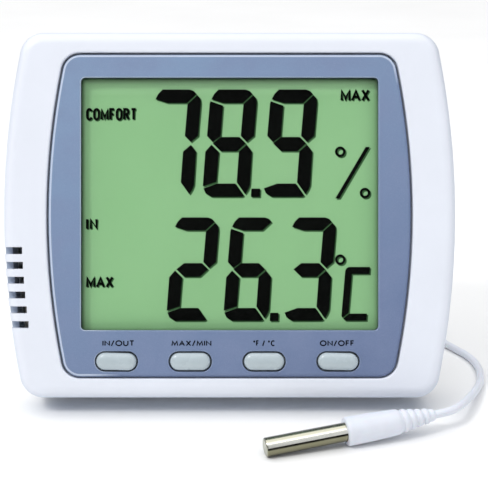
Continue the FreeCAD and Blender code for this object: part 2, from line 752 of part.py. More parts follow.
def sensors():
    front = DEPTH - S.vent_depth - 1.2
    board = block("sensor_plate", SENSOR_X + 3.4, SENSOR_LEVEL, front - 1.0, front, 5.0, 26)
    group("sensor_board", [board])
    humidity = block("humidity_case", SENSOR_X + 3.0, SENSOR_LEVEL + 3, front, front + 1.1, 3.0, 5.0)
    group("humidity_sensor", [humidity])
    bead = doc.addObject("Part::Sphere", "air_bead")
    bind(bead, "Radius", 0.8)
    bind(bead, "Placement.Base.x", SENSOR_X + 3.0)
    bind(bead, "Placement.Base.y", SENSOR_LEVEL - 7)
    bind(bead, "Placement.Base.z", front + 0.8)
    group("air_thermistor", [bead])


# ---------------------------------------------------------------- battery bay

def lie_along_x(obj, x, y, z):
    obj.Placement.Rotation = FreeCAD.Rotation(V(0, 1, 0), 90)
    bind(obj, "Placement.Base.x", x)
    bind(obj, "Placement.Base.y", y)
    bind(obj, "Placement.Base.z", z)


def battery():
    body = doc.addObject("Part::Cylinder", "cell_can")
    bind(body, "Radius", S.cell_radius)
    bind(body, "Height", S.cell_length - 1.0)
    lie_along_x(body, -(S.cell_length / 2), S.bay_level, CELL_AXIS)
    nub = doc.addObject("Part::Cylinder", "cell_nub")
    bind(nub, "Radius", 1.9)
    bind(nub, "Height", 1.0)
    lie_along_x(nub, S.cell_length / 2 - 1.0, S.bay_level, CELL_AXIS)
    cell = doc.addObject("Part::Fuse", "battery_cell")
    cell.Base = body
    cell.Tool = nub
    keep(cell, "battery_cell")

    plate_x = BAY_HALF - 0.4
    plate = block("plus_plate", plate_x, S.bay_level, 3.0, BAY_FLOOR, 0.4, 8.0)
    dimple_length = plate_x - 0.2 - S.cell_length / 2
    dimple = doc.addObject("Part::Cone", "plus_dimple")
    bind(dimple, "Radius1", 1.6)
    bind(dimple, "Radius2", 3.2)
    bind(dimple, "Height", dimple_length)
    lie_along_x(dimple, S.cell_length / 2, S.bay_level, CELL_AXIS)
    plus = doc.addObject("Part::Fuse", "positive_contact")
    plus.Base = plate
    plus.Tool = dimple
    keep(plus, "positive_contact")

    # a conical spring on a plate presses on the cell's flat end
    wire, turns, steps = 0.35, 4, 8
    wall_x = -(BAY_HALF.value - 0.2)
    gap = -S.cell_length.value / 2 - wire - (wall_x + 0.3)
    count = turns * steps
    points = []
    for i in range(count + 1):
        angle, sweep = 2 * math.pi * i / steps, 4.0 - 1.8 * i / count
        points.append(V(wall_x + 0.3 + gap * i / count, S.bay_level.value + sweep * math.cos(angle),
                        CELL_AXIS.value + sweep * math.sin(angle)))
    coil = smooth_wire(points, wire)[0]
    plate_low = CELL_AXIS.value - 4.6
    back_plate = Part.makeBox(0.4, 9.0, BAY_FLOOR.value - plate_low,
                              V(wall_x, S.bay_level.value - 4.5, plate_low))
    spring = doc.addObject("Part::Feature", "negative_spring")
    spring.Shape = coil.fuse(back_plate)
    keep(spring, "negative_spring")


def battery_door():
    body = new_body("battery_door")
    width, tall = DOOR_WIDTH, DOOR_HEIGHT
    pad(body, "door_plate", 0, S.door_thickness, (draw_box, 0, S.bay_level, width, tall))

    round_edges(body, "door_corners", 0.8, upright)
    pad(body, "door_ribs", S.door_thickness - 0.1, S.door_thickness + 0.05,
        *[(draw_box, x, S.bay_level, 1.2, 2 * BAY_SIDE - 2) for x in (-20, 20)])
    low = S.bay_level - tall / 2
    pad(body, "door_tongues", 0.65, S.door_thickness, *[(draw_box, x, low - 0.2, 6.0, 1.6) for x in (-15, 15)])
    grips = [(draw_box, 0, S.bay_level + tall / 2 - 2.4 - 1.3 * i, 10, 0.6) for i in range(4)]
    pocket(body, "door_grips", -1, 0.35, *grips)
    return keep(body, "battery_door")


# ---------------------------------------------------------------- stand

def stand():
    """The leg is drawn folded flat in its recess, then turned out about the hinge."""
    body = new_body("stand")
    low = S.hinge_inset - S.stand_thickness / 2
    high = S.hinge_inset + S.stand_thickness / 2
    foot = S.hinge_level - stand_reach()
    top = S.hinge_level + S.stand_heel
    half, taper = S.stand_width / 2, 3.0
    pad(body, "leg", low, high,
        (draw_polygon, [(-half + taper, foot), (half - taper, foot), (half, foot + 16), (half, top), (-half, top),
                        (-half, foot + 16)]))

    def foot_corner(edge):
        return upright(edge) and near(edge.CenterOfMass.y, foot)

    round_edges(body, "foot_corners", 3.0, foot_corner)

    def foot_edge(edge):
        box = edge.BoundBox
        return near(box.YMin, foot) and near(box.YMax, foot) and box.XLength > 10

    round_edges(body, "foot_edge", S.foot_rounding, foot_edge)
    pocket(body, "leg_window", low - 1, high + 1,
           (draw_box, 0, S.hinge_level - 22, 20, 18))
    pocket(body, "finger_ribs", low - 1, low + 0.4,
           *[(draw_box, 0, foot + 5 + 1.6 * i, 12, 0.7) for i in range(4)])
    sketch = new_sketch(body, "stub_outline", -(half + S.stub_length), "YZ_Plane")
    draw_circle(sketch, S.hinge_level, S.hinge_inset, S.stub_radius)
    stubs = body.newObject("PartDesign::Pad", "stubs")
    stubs.Profile = sketch
    bind(stubs, "Length", 2 * (half + S.stub_length))
    doc.recompute()
    body.Placement = stand_turn()
    return keep(body, "stand")


def stand_turn():
    """Turn the leg out of the back about the hinge axis."""
    hinge = V(0, S.hinge_level.value, S.hinge_inset.value)
    turn = FreeCAD.Rotation(V(1, 0, 0), S.stand_angle.value)
    return FreeCAD.Placement(hinge - turn.multVec(hinge), turn)


def stand_reach():
    """The leg's length from hinge to foot, so that foot and case stand on one plane."""
    lean = math.radians(S.lean.value)
    out = math.radians(S.stand_angle.value - S.lean.value)
    cos_lean = Size(math.cos(lean), "cos(Sizes.lean * 1deg)")
    sin_lean = Size(math.sin(lean), "sin(Sizes.lean * 1deg)")
    cos_out = Size(math.cos(out), "cos((Sizes.stand_angle - Sizes.lean) * 1deg)")
    sin_out = Size(math.sin(out), "sin((Sizes.stand_angle - Sizes.lean) * 1deg)")
    case_drop = S.back_rounding * (cos_lean + sin_lean - 1)
    hinge = S.hinge_level * cos_lean + S.hinge_inset * sin_lean - case_drop
    # the foot's round edge on the case's side is the one that touches
    edge = S.stand_thickness / 2 - S.foot_rounding
    return (hinge - edge * sin_out - S.foot_rounding) / cos_out + S.foot_rounding


# ---------------------------------------------------------------- strain relief and inner wires

def strain_relief():
    body = new_body("strain_relief")
    sketch = new_sketch(body, "relief_outline", -S.exit_level, "XZ_Plane")
    cord = S.cord_diameter / 2
    r = S.relief_radius
    x = S.exit_x
    out = -S.relief_length
    draw_polygon(sketch, [(x, S.wall + 1.2), (x + r + 1.2, S.wall + 1.2), (x + r + 1.2, S.wall),
                          (x + r, S.wall), (x + r, -1.2), (x + r - 0.2, -1.6), (x + cord + 0.55, out), (x, out)])
    turned = body.newObject("PartDesign::Revolution", "relief")
    turned.Profile = sketch
    axis = new_sketch(body, "relief_axis", -S.exit_level, "XZ_Plane")
    line = axis.addGeometry(Part.LineSegment(V(x.value, -1, 0), V(x.value, 1, 0)), False)
    fix_x(axis, line, 1, x)
    fix_x(axis, line, 2, x)
    fix_y(axis, line, 1, -1)
    fix_y(axis, line, 2, 1)
    turned.ReferenceAxis = (axis, ["Edge1"])
    turned.Angle = 360
    doc.recompute()
    return keep(body, "strain_relief")


def smooth_wire(points, radius):
    """A round tube of straight runs joined by tangent arcs, each as large as its runs allow."""
    edges, here, radii = [], points[0], []
    for before, corner, after in zip(points, points[1:], points[2:]):
        back, on = before - corner, after - corner
        turn = math.pi - back.getAngle(on)
        setback = 0.45 * min(back.Length, on.Length)
        bend = setback / math.tan(turn / 2)
        radii.append(bend)
        back.normalize()
        on.normalize()
        start, end = corner + back * setback, corner + on * setback
        towards = (back + on).normalize()
        centre = corner + towards * math.hypot(bend, setback)
        middle = centre - towards * bend
        edges.append(Part.LineSegment(here, start).toShape())
        edges.append(Part.Arc(start, middle, end).toShape())
        here = end
    edges.append(Part.LineSegment(here, points[-1]).toShape())
    path = Part.Wire(edges)
    first = points[1] - points[0]
    section = Part.Wire(Part.makeCircle(radius, points[0], first))
    tube = path.makePipeShell([section], True, False)
    expected = math.pi * radius ** 2 * path.Length
    if abs(tube.Volume / expected - 1) > 0.02:
        raise ValueError("a wire lost its section along the way")
    return tube, path.Length, radii


def add_wires(name, routes, radius):
    """Loose wires inside the case, several to a node."""
    tubes = [smooth_wire([V(*point) for point in route], radius)[0] for route in routes]
    node = doc.addObject("Part::Feature", name)
    node.Shape = Part.makeCompound(tubes)
    return keep(node, name)


def inner_wires():
    board = BOARD_BACK.value
    end = BAY_HALF.value + S.bay_wall.value + 1.0
    level = S.bay_level.value
    roof = BAY_FLOOR.value - 1.5
    add_wires("battery_wires", [
        [(end, level, roof - 2), (end + 2, level - 4, roof), (end + 1, level - 10, board - 1.5),
         (end - 2, level - 13, board)],
        [(-end, level, roof - 2), (-end - 2, level - 4, roof), (-end - 1, level - 10, board - 1.5),
         (-end + 2, level - 13, board)],
    ], 0.6)
    front = DEPTH.value - S.vent_depth.value - 2.2
    x, mid, edge = SENSOR_X.value, SENSOR_LEVEL.value, -BOARD_WIDTH.value / 2
    add_wires("sensor_wires", [
        [(x + 3.4, mid + shift, front), (x + 5, mid + shift + 0.5, front - 4),
         ((x + edge) / 2 + 5, mid + shift + 1, front - 6.6), (edge + 7, mid + shift, board)] for shift in (-3, 0, 3)
    ], 0.5)
    ex, el = S.exit_x.value, S.exit_level.value
    inside = S.wall.value + 1.2
    add_wires("probe_wires", [
        [(ex + side * 0.52, el, inside - 0.6), (ex + side * 0.9, el + 1, inside + 2.5),
         (ex + side * 1.5 + 2, el + 5, inside + 5), (ex + side * 1.5 + 4, el + 9, board)] for side in (-1, 1)
    ], 0.5)


# ---------------------------------------------------------------- placing

def stand_up():
    """Lean every piece of the case back, and set the origin under the middle of case and stand."""
    lean = FreeCAD.Rotation(V(1, 0, 0), 90 - S.lean.value)
    for obj in NODES.values():
        obj.Placement = FreeCAD.Placement(V(0, 0, 0), lean).multiply(obj.Placement)
    doc.recompute()
    box = FreeCAD.BoundBox()
    for name in ("front_housing", "rear_housing", "stand"):
        box.add(NODES[name].Shape.optimalBoundingBox(True, False))
    for name in ("strain_relief", "button_power"):
        box.add(NODES[name].Shape.optimalBoundingBox(True, False))
    shift = V(0, -(box.YMin + box.YMax) / 2, -box.ZMin)
    for obj in NODES.values():
        obj.Placement = FreeCAD.Placement(shift, FreeCAD.Rotation()).multiply(obj.Placement)
    doc.recompute()
    print("height", box.ZLength, "depth", box.YLength, "shift", shift)
    return FreeCAD.Placement(shift, lean)


# ---------------------------------------------------------------- probe, laid on the table

PROBE_TIP = V(9.3, -46.3, 2.5)
PROBE_AIM = V(45.6, 11.9, 2.8)


def probe_axis(distance):
    """A point on the probe's axis, measured from the tip."""
    aim = V(PROBE_AIM).normalize()
    return PROBE_TIP + aim * distance


def turned_piece(name, outline):
    """A body of revolution about the probe's axis, from (distance, radius) corners."""
    body = new_body(name)
    sketch = new_sketch(body, name + "_outline", 0, "XZ_Plane")
    draw_polygon(sketch, outline)
    turned = body.newObject("PartDesign::Revolution", name + "_turned")
    turned.Profile = sketch
    turned.ReferenceAxis = (sketch, ["H_Axis"])
    turned.Angle = 360
    doc.recompute()
    body.Placement = FreeCAD.Placement(PROBE_TIP, FreeCAD.Rotation(V(1, 0, 0), V(PROBE_AIM)))
    return body


def probe():
    r, wall = S.tube_radius, S.tube_wall
    total = S.tube_length + S.sleeve_grip
    tube = turned_piece("probe_tube", [
        (0, 0), (0, r), (total, r), (total, r - wall), (wall, r - wall), (wall, 0)])

    def tip_edge(edge):
        centre = edge.CenterOfMass
        return near(centre.x, 0) and near(edge.Length, 2 * math.pi * r)

    round_edges(tube, "tip_rounding", 0.5, tip_edge)
    keep(tube, "probe_tube")
    bead = Size(0.9, "0.9")
    keep(turned_piece("probe_thermistor", [
        (1.2, 0), (1.5, bead * 0.8), (2.4, bead), (3.6, bead * 0.8), (4.6, 0.35), (9, 0.3), (9, 0)]),
        "probe_thermistor")
    bore = r - wall
    keep(turned_piece("probe_potting", [
        (wall, 0), (wall, bore), (total - 1, bore), (total - 1, 0), (9, 0), (9, 0.3), (4.6, 0.35),
        (3.6, bead * 0.8), (2.4, bead), (1.5, bead * 0.8), (1.2, 0)]), "probe_potting")
    # the moulded sleeve narrows in two steps, then in rings, to the cord
    front = S.tube_length
    R = S.sleeve_radius
    hole = S.cord_diameter / 2
    tail = front + S.sleeve_length
    rings = []
    for i in range(4):
        start = front + S.sleeve_length * 0.62 + 2.2 * i
        outer = R * (0.80 - 0.085 * i)
        rings += [(start, outer), (start + 1.3, outer - 0.05), (start + 1.5, outer - 0.45), (start + 2.0, outer - 0.5)]
    sleeve = turned_piece("probe_sleeve", [
        (front, r), (front, R - 0.25), (front + 0.4, R), (front + S.sleeve_length * 0.3, R * 0.97),
        (front + S.sleeve_length * 0.56, R * 0.9), (front + S.sleeve_length * 0.59, R * 0.82)] + rings + [
        (tail - 0.3, hole + 0.6), (tail, hole + 0.35), (tail, 0), (total, 0), (total, r)])
    keep(sleeve, "probe_sleeve")


# ---------------------------------------------------------------- cord, chosen by hand

CORD_RADIUS = S.cord_diameter.value / 2
COIL_CENTRE = V(48.4, 33.4, 0)
COIL_INNER = 7.5
COIL_OUTER = 18.5
COIL_ROWS = 2
TIE_THICKNESS = 0.4
LEAD = [V(31, 13.0, 9.2), V(31, 17.6, 5.2), V(31, 22.6, 2.0), V(31, 28.6, 1.5)]
RUN = [V(65.8, 31.0, 3.7), V(65.3, 25.6, 2.3), V(66.9, 19.6, 1.2), V(70.6, 14.0, 1.1), V(74.2, 8.0, 1.1),
       V(75.2, 0.2, 1.1), V(73.6, -7.8, 1.2), V(70.6, -15.2, 2.3), V(67.2, -21.8, 3.7), V(63.6, -28.2, 4.8)]


def place_cord(name, points):
    tube, length, radii = smooth_wire(points, CORD_RADIUS)
    node = doc.addObject("Part::Feature", name)
    node.Shape = tube
    keep(node, name)
    print(name, "length", round(length, 1), "arc radii", [round(radius, 1) for radius in radii])


def cord(case_place):
    """The lead falls from the relief to the coil, and the run goes on from the coil to the probe."""
    relief_end = case_place.multVec(V(S.exit_x.value, S.exit_level.value, -S.relief_length.value))
    straight = case_place.Rotation.multVec(V(0, 0, -1))
    lead = [relief_end] + LEAD
    print("relief end", relief_end, "direction", straight)
    place_cord("cord_lead", lead)
    tail = probe_axis(S.tube_length.value + S.sleeve_length.value)
    run = RUN + [probe_axis(S.tube_length.value + S.sleeve_length.value + 5.0), tail]
    place_cord("cord_run", run)

    height = COIL_ROWS * 2 * CORD_RADIUS
    ring = doc.addObject("Part::Feature", "cord_coil")
    base = COIL_CENTRE + V(0, 0, TIE_THICKNESS)
    outer = Part.makeCylinder(COIL_OUTER, height, base)
    inner = Part.makeCylinder(COIL_INNER, height, base)
    torus = outer.cut(inner)
    rim = [edge for edge in torus.Edges if edge.Length > 2 * math.pi * COIL_INNER - 1]
    ring.Shape = torus.makeFillet(CORD_RADIUS * 0.9, rim)
    keep(ring, "cord_coil")

    # the tie is a flat band looped round the coil's far side
    band = doc.addObject("Part::Feature", "coil_tie")
    near_side, far_side = COIL_INNER - 0.45, COIL_OUTER + 0.05
    width, thick = 5.0, TIE_THICKNESS
    corner = COIL_CENTRE + V(-width / 2, near_side - thick, 0)
    around = Part.makeBox(width, far_side - near_side + 2 * thick, height + 2 * thick, corner)
    hole = Part.makeBox(width, far_side - near_side, height, corner + V(0, thick, thick))
    band.Shape = around.cut(hole)
    keep(band, "coil_tie")


# ---------------------------------------------------------------- build, check, write

def build():
    front_housing()
    rear_housing()
    bezel_panel()
    display()
    electronics()
    buttons()
    sensors()
    battery()
    battery_door()
    stand()
    strain_relief()
    fasteners()
    inner_wires()
    doc.recompute()
    case_place = stand_up()
    probe()
    cord(case_place)
    doc.recompute()


def check():
    for obj in doc.Objects:
        if "Invalid" in obj.State or "Error" in obj.State:
            raise ValueError(f"{obj.Name} failed: {obj.State}")
    for name, obj in NODES.items():
        shape = obj.Shape
        if shape.isNull() or not shape.isValid() or shape.Volume <= 0:
            raise ValueError(f"{name} has no sound shape")


def write():
    os.makedirs("parts", exist_ok=True)
    for name, obj in NODES.items():
        obj.Shape.exportStep(f"parts/{name}.step")
    print(len(NODES), "nodes")


build()
check()
write()
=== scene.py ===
"""Looks of a maximum and minimum thermometer.

The finishes of every CAD node, the cord with its sleeve and tie, the display's digits and words, the printed
labels, the crowned button caps, and the studio. Lengths are in millimetres unless a name says otherwise.
"""
import json
import math

import bmesh
import bpy
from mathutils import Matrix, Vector


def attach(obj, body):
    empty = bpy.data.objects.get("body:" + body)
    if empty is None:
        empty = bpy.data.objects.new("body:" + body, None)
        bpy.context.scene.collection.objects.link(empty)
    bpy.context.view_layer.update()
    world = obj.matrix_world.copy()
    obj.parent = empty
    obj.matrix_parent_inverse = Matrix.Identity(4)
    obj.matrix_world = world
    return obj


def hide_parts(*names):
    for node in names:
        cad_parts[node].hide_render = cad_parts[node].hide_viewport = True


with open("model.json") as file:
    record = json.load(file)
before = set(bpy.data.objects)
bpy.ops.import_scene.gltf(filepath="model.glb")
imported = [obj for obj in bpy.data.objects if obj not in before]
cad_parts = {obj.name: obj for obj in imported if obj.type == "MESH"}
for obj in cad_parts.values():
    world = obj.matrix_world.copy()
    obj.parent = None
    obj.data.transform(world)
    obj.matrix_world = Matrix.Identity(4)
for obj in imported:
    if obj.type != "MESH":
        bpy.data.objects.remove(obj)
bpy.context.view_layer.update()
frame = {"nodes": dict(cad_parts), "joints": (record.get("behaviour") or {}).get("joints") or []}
NODES = frame["nodes"]
MM = 0.001

# ---------------------------------------------------------------- the case's own axes

LEAN = math.radians(20)
RIGHT = Vector((1, 0, 0))
UP = Vector((0, math.sin(LEAN), math.cos(LEAN)))
OUT = Vector((0, -math.cos(LEAN), math.sin(LEAN)))
HINGE = Vector(next(j for j in frame["joints"] if j["name"] == "stand_hinge")["pos_m"])
HINGE_UP, HINGE_OUT = 56.0, 2.0     # where the stand's hinge is, up the case and out from its back


def on_case(x, up, out):
    """A point in metres in the shared frame, from across, up and out from the back of the case."""
    return HINGE + MM * (x * RIGHT + (up - HINGE_UP) * UP + (out - HINGE_OUT) * OUT)


# levels out from the back of the case
CREST = 22.0            # the highest point of the front
PANEL_FACE = 21.4
GLASS_FACE = 18.2
INK_THICK = 0.03
SHADOW_LEVEL = GLASS_FACE + 0.03
INK_LEVEL = GLASS_FACE + 0.075

# ---------------------------------------------------------------- the probe's axis

PROBE_TIP = Vector((9.3, -46.3, 2.5))
PROBE_AIM = Vector((45.6, 11.9, 2.8)).normalized()
PROBE_SIDE = PROBE_AIM.cross(Vector((0, 0, 1))).normalized()
PROBE_TOP = PROBE_SIDE.cross(PROBE_AIM)

# ---------------------------------------------------------------- camera, square to the face

CAMERA_ACROSS, CAMERA_UP = 3.97, 42.53
CAMERA_AWAY = 274.0     # from the crest
CAMERA_LENS = 73.77

camera = bpy.data.objects.new("camera", bpy.data.cameras.new("camera"))
camera.data.lens = CAMERA_LENS
camera.data.sensor_width = 36
camera.location = on_case(CAMERA_ACROSS, CAMERA_UP, CREST + CAMERA_AWAY)
camera.rotation_euler = (math.radians(90) - LEAN, 0, 0)
camera.data.clip_start = 0.01
bpy.context.scene.collection.objects.link(camera)
bpy.context.scene.camera = camera


# ---------------------------------------------------------------- materials

def linear(red, green, blue):
    """A display colour, 0 to 255, as the linear colour that a shader takes."""
    def one(value):
        value /= 255
        return value / 12.92 if value <= 0.04045 else ((value + 0.055) / 1.055) ** 2.4
    return (one(red), one(green), one(blue), 1)


class Nodes:
    """The node tree of one material, with short calls for the nodes that repeat."""

    def __init__(self, name):
        self.material = bpy.data.materials.new(name)
        self.material.use_nodes = True
        self.tree = self.material.node_tree
        self.tree.nodes.clear()
        self.output = self.tree.nodes.new("ShaderNodeOutputMaterial")
        self.place = self.tree.nodes.new("ShaderNodeTexCoord").outputs["Object"]

    def math(self, operation, *values):
        node = self.tree.nodes.new("ShaderNodeMath")
        node.operation = operation
        for i, value in enumerate(values):
            self.set(node, i, value)
        return node.outputs[0]

    def set(self, node, i, value):
        """Link a socket into input i of a node, or write a plain value there."""
        if isinstance(value, bpy.types.NodeSocket):
            self.tree.links.new(value, node.inputs[i])
        else:
            node.inputs[i].default_value = value

    def noise(self, scale, detail=3.0, place=None):
        node = self.tree.nodes.new("ShaderNodeTexNoise")
        self.tree.links.new(place or self.place, node.inputs["Vector"])
        node.inputs["Scale"].default_value = scale
        node.inputs["Detail"].default_value = detail
        node.inputs["Roughness"].default_value = 0.55
        return node.outputs["Fac"]

    def stretched(self, scale, rotation=(0, 0, 0)):
        """The object's own coordinates, turned and scaled, for a noise drawn out along one way."""
        node = self.tree.nodes.new("ShaderNodeMapping")
        self.tree.links.new(self.place, node.inputs["Vector"])
        node.inputs["Scale"].default_value = scale
        node.inputs["Rotation"].default_value = rotation
        return node.outputs["Vector"]

    def ranged(self, value, low, high, out_low, out_high):
        """A value from low to high as one from out_low to out_high, held at both ends."""
        node = self.tree.nodes.new("ShaderNodeMapRange")
        numbers = {"From Min": low, "From Max": high, "To Min": out_low, "To Max": out_high}
        for key, number in numbers.items():
            node.inputs[key].default_value = number
        self.tree.links.new(value, node.inputs["Value"])
        return node.outputs["Result"]

    def mix(self, share, first, second):
        node = self.tree.nodes.new("ShaderNodeMix")
        node.data_type = "RGBA"
        self.set(node, 0, share)
        self.set(node, 6, first)
        self.set(node, 7, second)
        return node.outputs[2]

    def dot(self, first, second):
        node = self.tree.nodes.new("ShaderNodeVectorMath")
        node.operation = "DOT_PRODUCT"
        self.set(node, 0, first)
        self.set(node, 1, second)
        return node.outputs["Value"]

    def along(self, direction, origin=None):
        """How far a point is along a direction, from the case's origin unless another is given."""
        start = on_case(0, 0, 0) if origin is None else origin
        far = self.math("SUBTRACT", self.dot(self.place, direction), start.dot(direction))
        return self.math("MULTIPLY", far, 1000)

    def bump(self, height, strength, distance, normal=None):
        node = self.tree.nodes.new("ShaderNodeBump")
        node.inputs["Strength"].default_value = strength
        node.inputs["Distance"].default_value = distance * MM
        self.tree.links.new(height, node.inputs["Height"])
        if normal is not None:
            self.tree.links.new(normal, node.inputs["Normal"])
        return node.outputs["Normal"]

    def rounded(self, radius):
        """The surface's normal as if its edges were rounded to that radius."""
        node = self.tree.nodes.new("ShaderNodeBevel")
        node.samples = 4
        node.inputs["Radius"].default_value = radius * MM
        return node.outputs["Normal"]

    def edges(self, radius):
        """1 along the edges, 0 on the faces, within that radius."""
        true = self.tree.nodes.new("ShaderNodeNewGeometry").outputs["Normal"]
        turned = self.math("SUBTRACT", 1.0, self.dot(self.rounded(radius), true))
        return self.ranged(turned, 0.02, 0.25, 0, 1)

    def surface(self, colour, roughness, normal=None, metallic=0.0, **uniform):
        node = self.tree.nodes.new("ShaderNodeBsdfPrincipled")
        self.set(node, node.inputs.find("Base Color"), colour)
        self.set(node, node.inputs.find("Roughness"), roughness)
        node.inputs["Metallic"].default_value = metallic
        for key, value in uniform.items():
            node.inputs[key.replace("_", " ")].default_value = value
        if normal is not None:
            self.tree.links.new(normal, node.inputs["Normal"])
        return node.outputs["BSDF"]

    def finish(self, shader):
        self.tree.links.new(shader, self.output.inputs["Surface"])
        return self.material


def scaled(colour, factor, lift=0.0):
    """A linear colour made darker or lighter, and no brighter than white."""
    return tuple(min(1, c * factor + lift) for c in colour[:3]) + (1,)


def plastic(name, colour, roughness, worn, grain=0.25, depth=0.012, patch=14.0, shift=0.05, wear=0.25,
            edge=0.25, painted_side_shade=None, **uniform):
    """Moulded plastic: a fine eroded grain, faint patches of handling, and edges rubbed smoother and paler.

    worn is the linear colour of a rubbed edge and wear its strongest share. The sides of the case, below
    its face, can be given painted shade, a display colour towards which they darken.
    """
    n = Nodes(name)
    colour = linear(*colour)
    fine = n.noise(1000 / grain, 2)
    broad = n.noise(1000 / patch, 4)
    tone = n.mix(n.ranged(broad, 0.3, 0.7, 0, 1), scaled(colour, 1 - shift), scaled(colour, 1 + shift * 0.6))
    # painted shade: below the case's face its sides darken towards the given colour
    if painted_side_shade:
        tone = n.mix(n.ranged(n.along(OUT), 18.0, 21.6, 0.8, 0), tone, linear(*painted_side_shade))
    rim = n.math("MULTIPLY", n.edges(edge), n.ranged(n.noise(260, 4), 0.42, 0.62, 0, wear))
    tone = n.mix(rim, tone, worn)
    gloss = n.ranged(broad, 0.25, 0.75, roughness + 0.05, roughness - 0.05)
    gloss = n.math("SUBTRACT", gloss, n.math("MULTIPLY", rim, 0.12))
    normal = n.bump(fine, 0.35, depth, n.rounded(edge))
    return n.finish(n.surface(tone, gloss, normal, **uniform))


def metal(name, colour, roughness):
    """Plated metal: a fine grain, with dull and bright patches."""
    n = Nodes(name)
    broad = n.noise(120, 3)
    colour = linear(*colour)
    tone = n.mix(n.ranged(broad, 0.3, 0.7, 0, 1), scaled(colour, 0.9), colour)
    gloss = n.ranged(broad, 0.3, 0.7, roughness - 0.04, roughness + 0.05)
    return n.finish(n.surface(tone, gloss, n.bump(n.noise(900, 3), 0.12, 0.004), metallic=1.0))


# the front housing, with painted shade on its sides below the face
abs_white = plastic("white_abs", (236, 240, 250), 0.40, worn=(1, 1, 1, 1), grain=0.30, depth=0.010,
                    shift=0.02, wear=0.3, edge=0.35, painted_side_shade=(168, 182, 204), Specular_IOR_Level=0.45)
abs_back = plastic("white_abs_back", (236, 239, 244), 0.52, worn=(0.95, 0.95, 0.95, 1), grain=0.55,
                   depth=0.03, shift=0.03, wear=0.35, edge=0.35)
button_grey = plastic("button_grey", (186, 199, 205), 0.28, worn=linear(222, 230, 232), grain=0.20,
                      depth=0.006, shift=0.03, wear=0.35, edge=0.4, Coat_Weight=0.3, Coat_Roughness=0.15)
stand_white = plastic("stand_white", (238, 241, 246), 0.45, worn=(0.97, 0.97, 0.97, 1), grain=0.4,
                      depth=0.02, shift=0.03, wear=0.4)
pvc_white = plastic("pvc_white", (228, 232, 242), 0.42, worn=(1, 1, 1, 1), grain=0.5, depth=0.015, patch=6,
                    shift=0.04, wear=0, edge=0.15, Subsurface_Weight=0.08, Subsurface_Scale=0.0008)
rubber_black = plastic("rubber_black", (34, 35, 38), 0.7, worn=linear(70, 70, 72), grain=0.3, depth=0.02)
epoxy_black = plastic("epoxy_black", (22, 22, 24), 0.45, worn=linear(60, 60, 60), grain=0.4, depth=0.02)
board_buff = plastic("board_buff", (158, 152, 142), 0.6, worn=linear(180, 176, 168), grain=0.4, depth=0.02)
bright = metal("bright_metal", (214, 212, 205), 0.22)
spring_metal = metal("spring_metal", (205, 203, 196), 0.25)


def steel_material():
    """Polished stainless tube: drawn lines along it, and painted reflections, the long light and dark
    bands that a round bar mirrors, set by the angle round its axis.
    """
    n = Nodes("stainless")
    lines = n.noise(1500, 3, n.stretched((0.06, 1, 1)))
    height = n.along(PROBE_TOP, PROBE_TIP * MM)
    side = n.math("ABSOLUTE", n.along(PROBE_SIDE, PROBE_TIP * MM))
    lean = n.math("MULTIPLY", n.math("ARCTAN2", side, height), 180 / math.pi)
    # painted reflection: bands of colour by the angle round the tube, in place of a mirrored room
    tone = linear(120, 118, 104)
    for start, end, painted_reflection in ((8, 16, (196, 194, 176)), (30, 42, (250, 249, 240)), (68, 70, (6, 6, 5)),
                               (80, 85, (132, 130, 106)), (105, 140, (88, 86, 70))):
        tone = n.mix(n.ranged(lean, start, end, 0, 1), tone, linear(*painted_reflection))
    face = n.ranged(n.along(PROBE_AIM, PROBE_TIP * MM), 0.12, 0.3, 1, 0)
    tone = n.mix(face, tone, linear(168, 168, 152))
    patch = n.noise(300, 4)
    tone = n.mix(n.ranged(patch, 0.35, 0.7, 0, 0.12), tone, linear(170, 166, 150))
    gloss = n.ranged(patch, 0.3, 0.7, 0.16, 0.26)
    return n.finish(n.surface(tone, gloss, n.bump(lines, 0.1, 0.004), metallic=1.0))


def bezel_material():
    """Blue-grey painted plastic with a fine satin grain, and painted light and shade: lighter towards the
    upper left, painted highlights along its edges, and dark painted shade below its face.
    """
    n = Nodes("blue_grey_panel")
    across, height = n.along(RIGHT), n.along(UP)
    # painted light: the panel grows lighter towards the upper left
    slope = n.math("ADD", n.math("MULTIPLY", across, -0.35), n.math("MULTIPLY", height, 0.65))
    light = n.ranged(slope, -5, 66, 0, 1)
    tone = n.mix(light, linear(108, 124, 160), linear(131, 154, 186))
    broad = n.noise(90, 5)
    tone = n.mix(n.ranged(broad, 0.35, 0.65, 0, 0.5), tone, linear(124, 138, 172))
    fleck = n.noise(5200, 1)
    tone = n.mix(n.ranged(fleck, 0.45, 0.75, 0, 0.16), tone, linear(170, 184, 210))
    # painted highlight: the panel's edges turn paler, unevenly
    rim = n.math("MULTIPLY", n.edges(0.5), n.ranged(n.noise(300, 4), 0.4, 0.6, 0.6, 1.0))
    tone = n.mix(rim, tone, linear(196, 210, 232))
    level = n.along(OUT)
    # painted highlight along the rounded shoulder of the panel's top and left edges
    shoulder = n.math("MULTIPLY", n.ranged(level, 20.9, 21.2, 0, 1),
                      n.ranged(level, PANEL_FACE - 0.04, PANEL_FACE - 0.005, 1, 0))
    lit = n.math("MAXIMUM", n.ranged(across, -38, -30, 0.8, 0.0), n.ranged(height, 86, 91, 0, 0.8))
    tone = n.mix(n.math("MULTIPLY", shoulder, lit), tone, linear(214, 226, 244))
    # painted shade: dark navy on surfaces below the panel's face, in the groove round it and the walls of its
    # openings, fainter along its lower edge
    painted_recess_shade = n.math("MULTIPLY", n.ranged(level, 20.6, 21.1, 0.9, 0), n.ranged(height, 6.2, 9, 0.15, 1))
    tone = n.mix(painted_recess_shade, tone, linear(24, 32, 52))
    gloss = n.ranged(broad, 0.3, 0.7, 0.36, 0.46)
    normal = n.bump(n.noise(3800, 2), 0.3, 0.008, n.rounded(0.3))
    return n.finish(n.surface(tone, gloss, normal, Specular_IOR_Level=0.4))


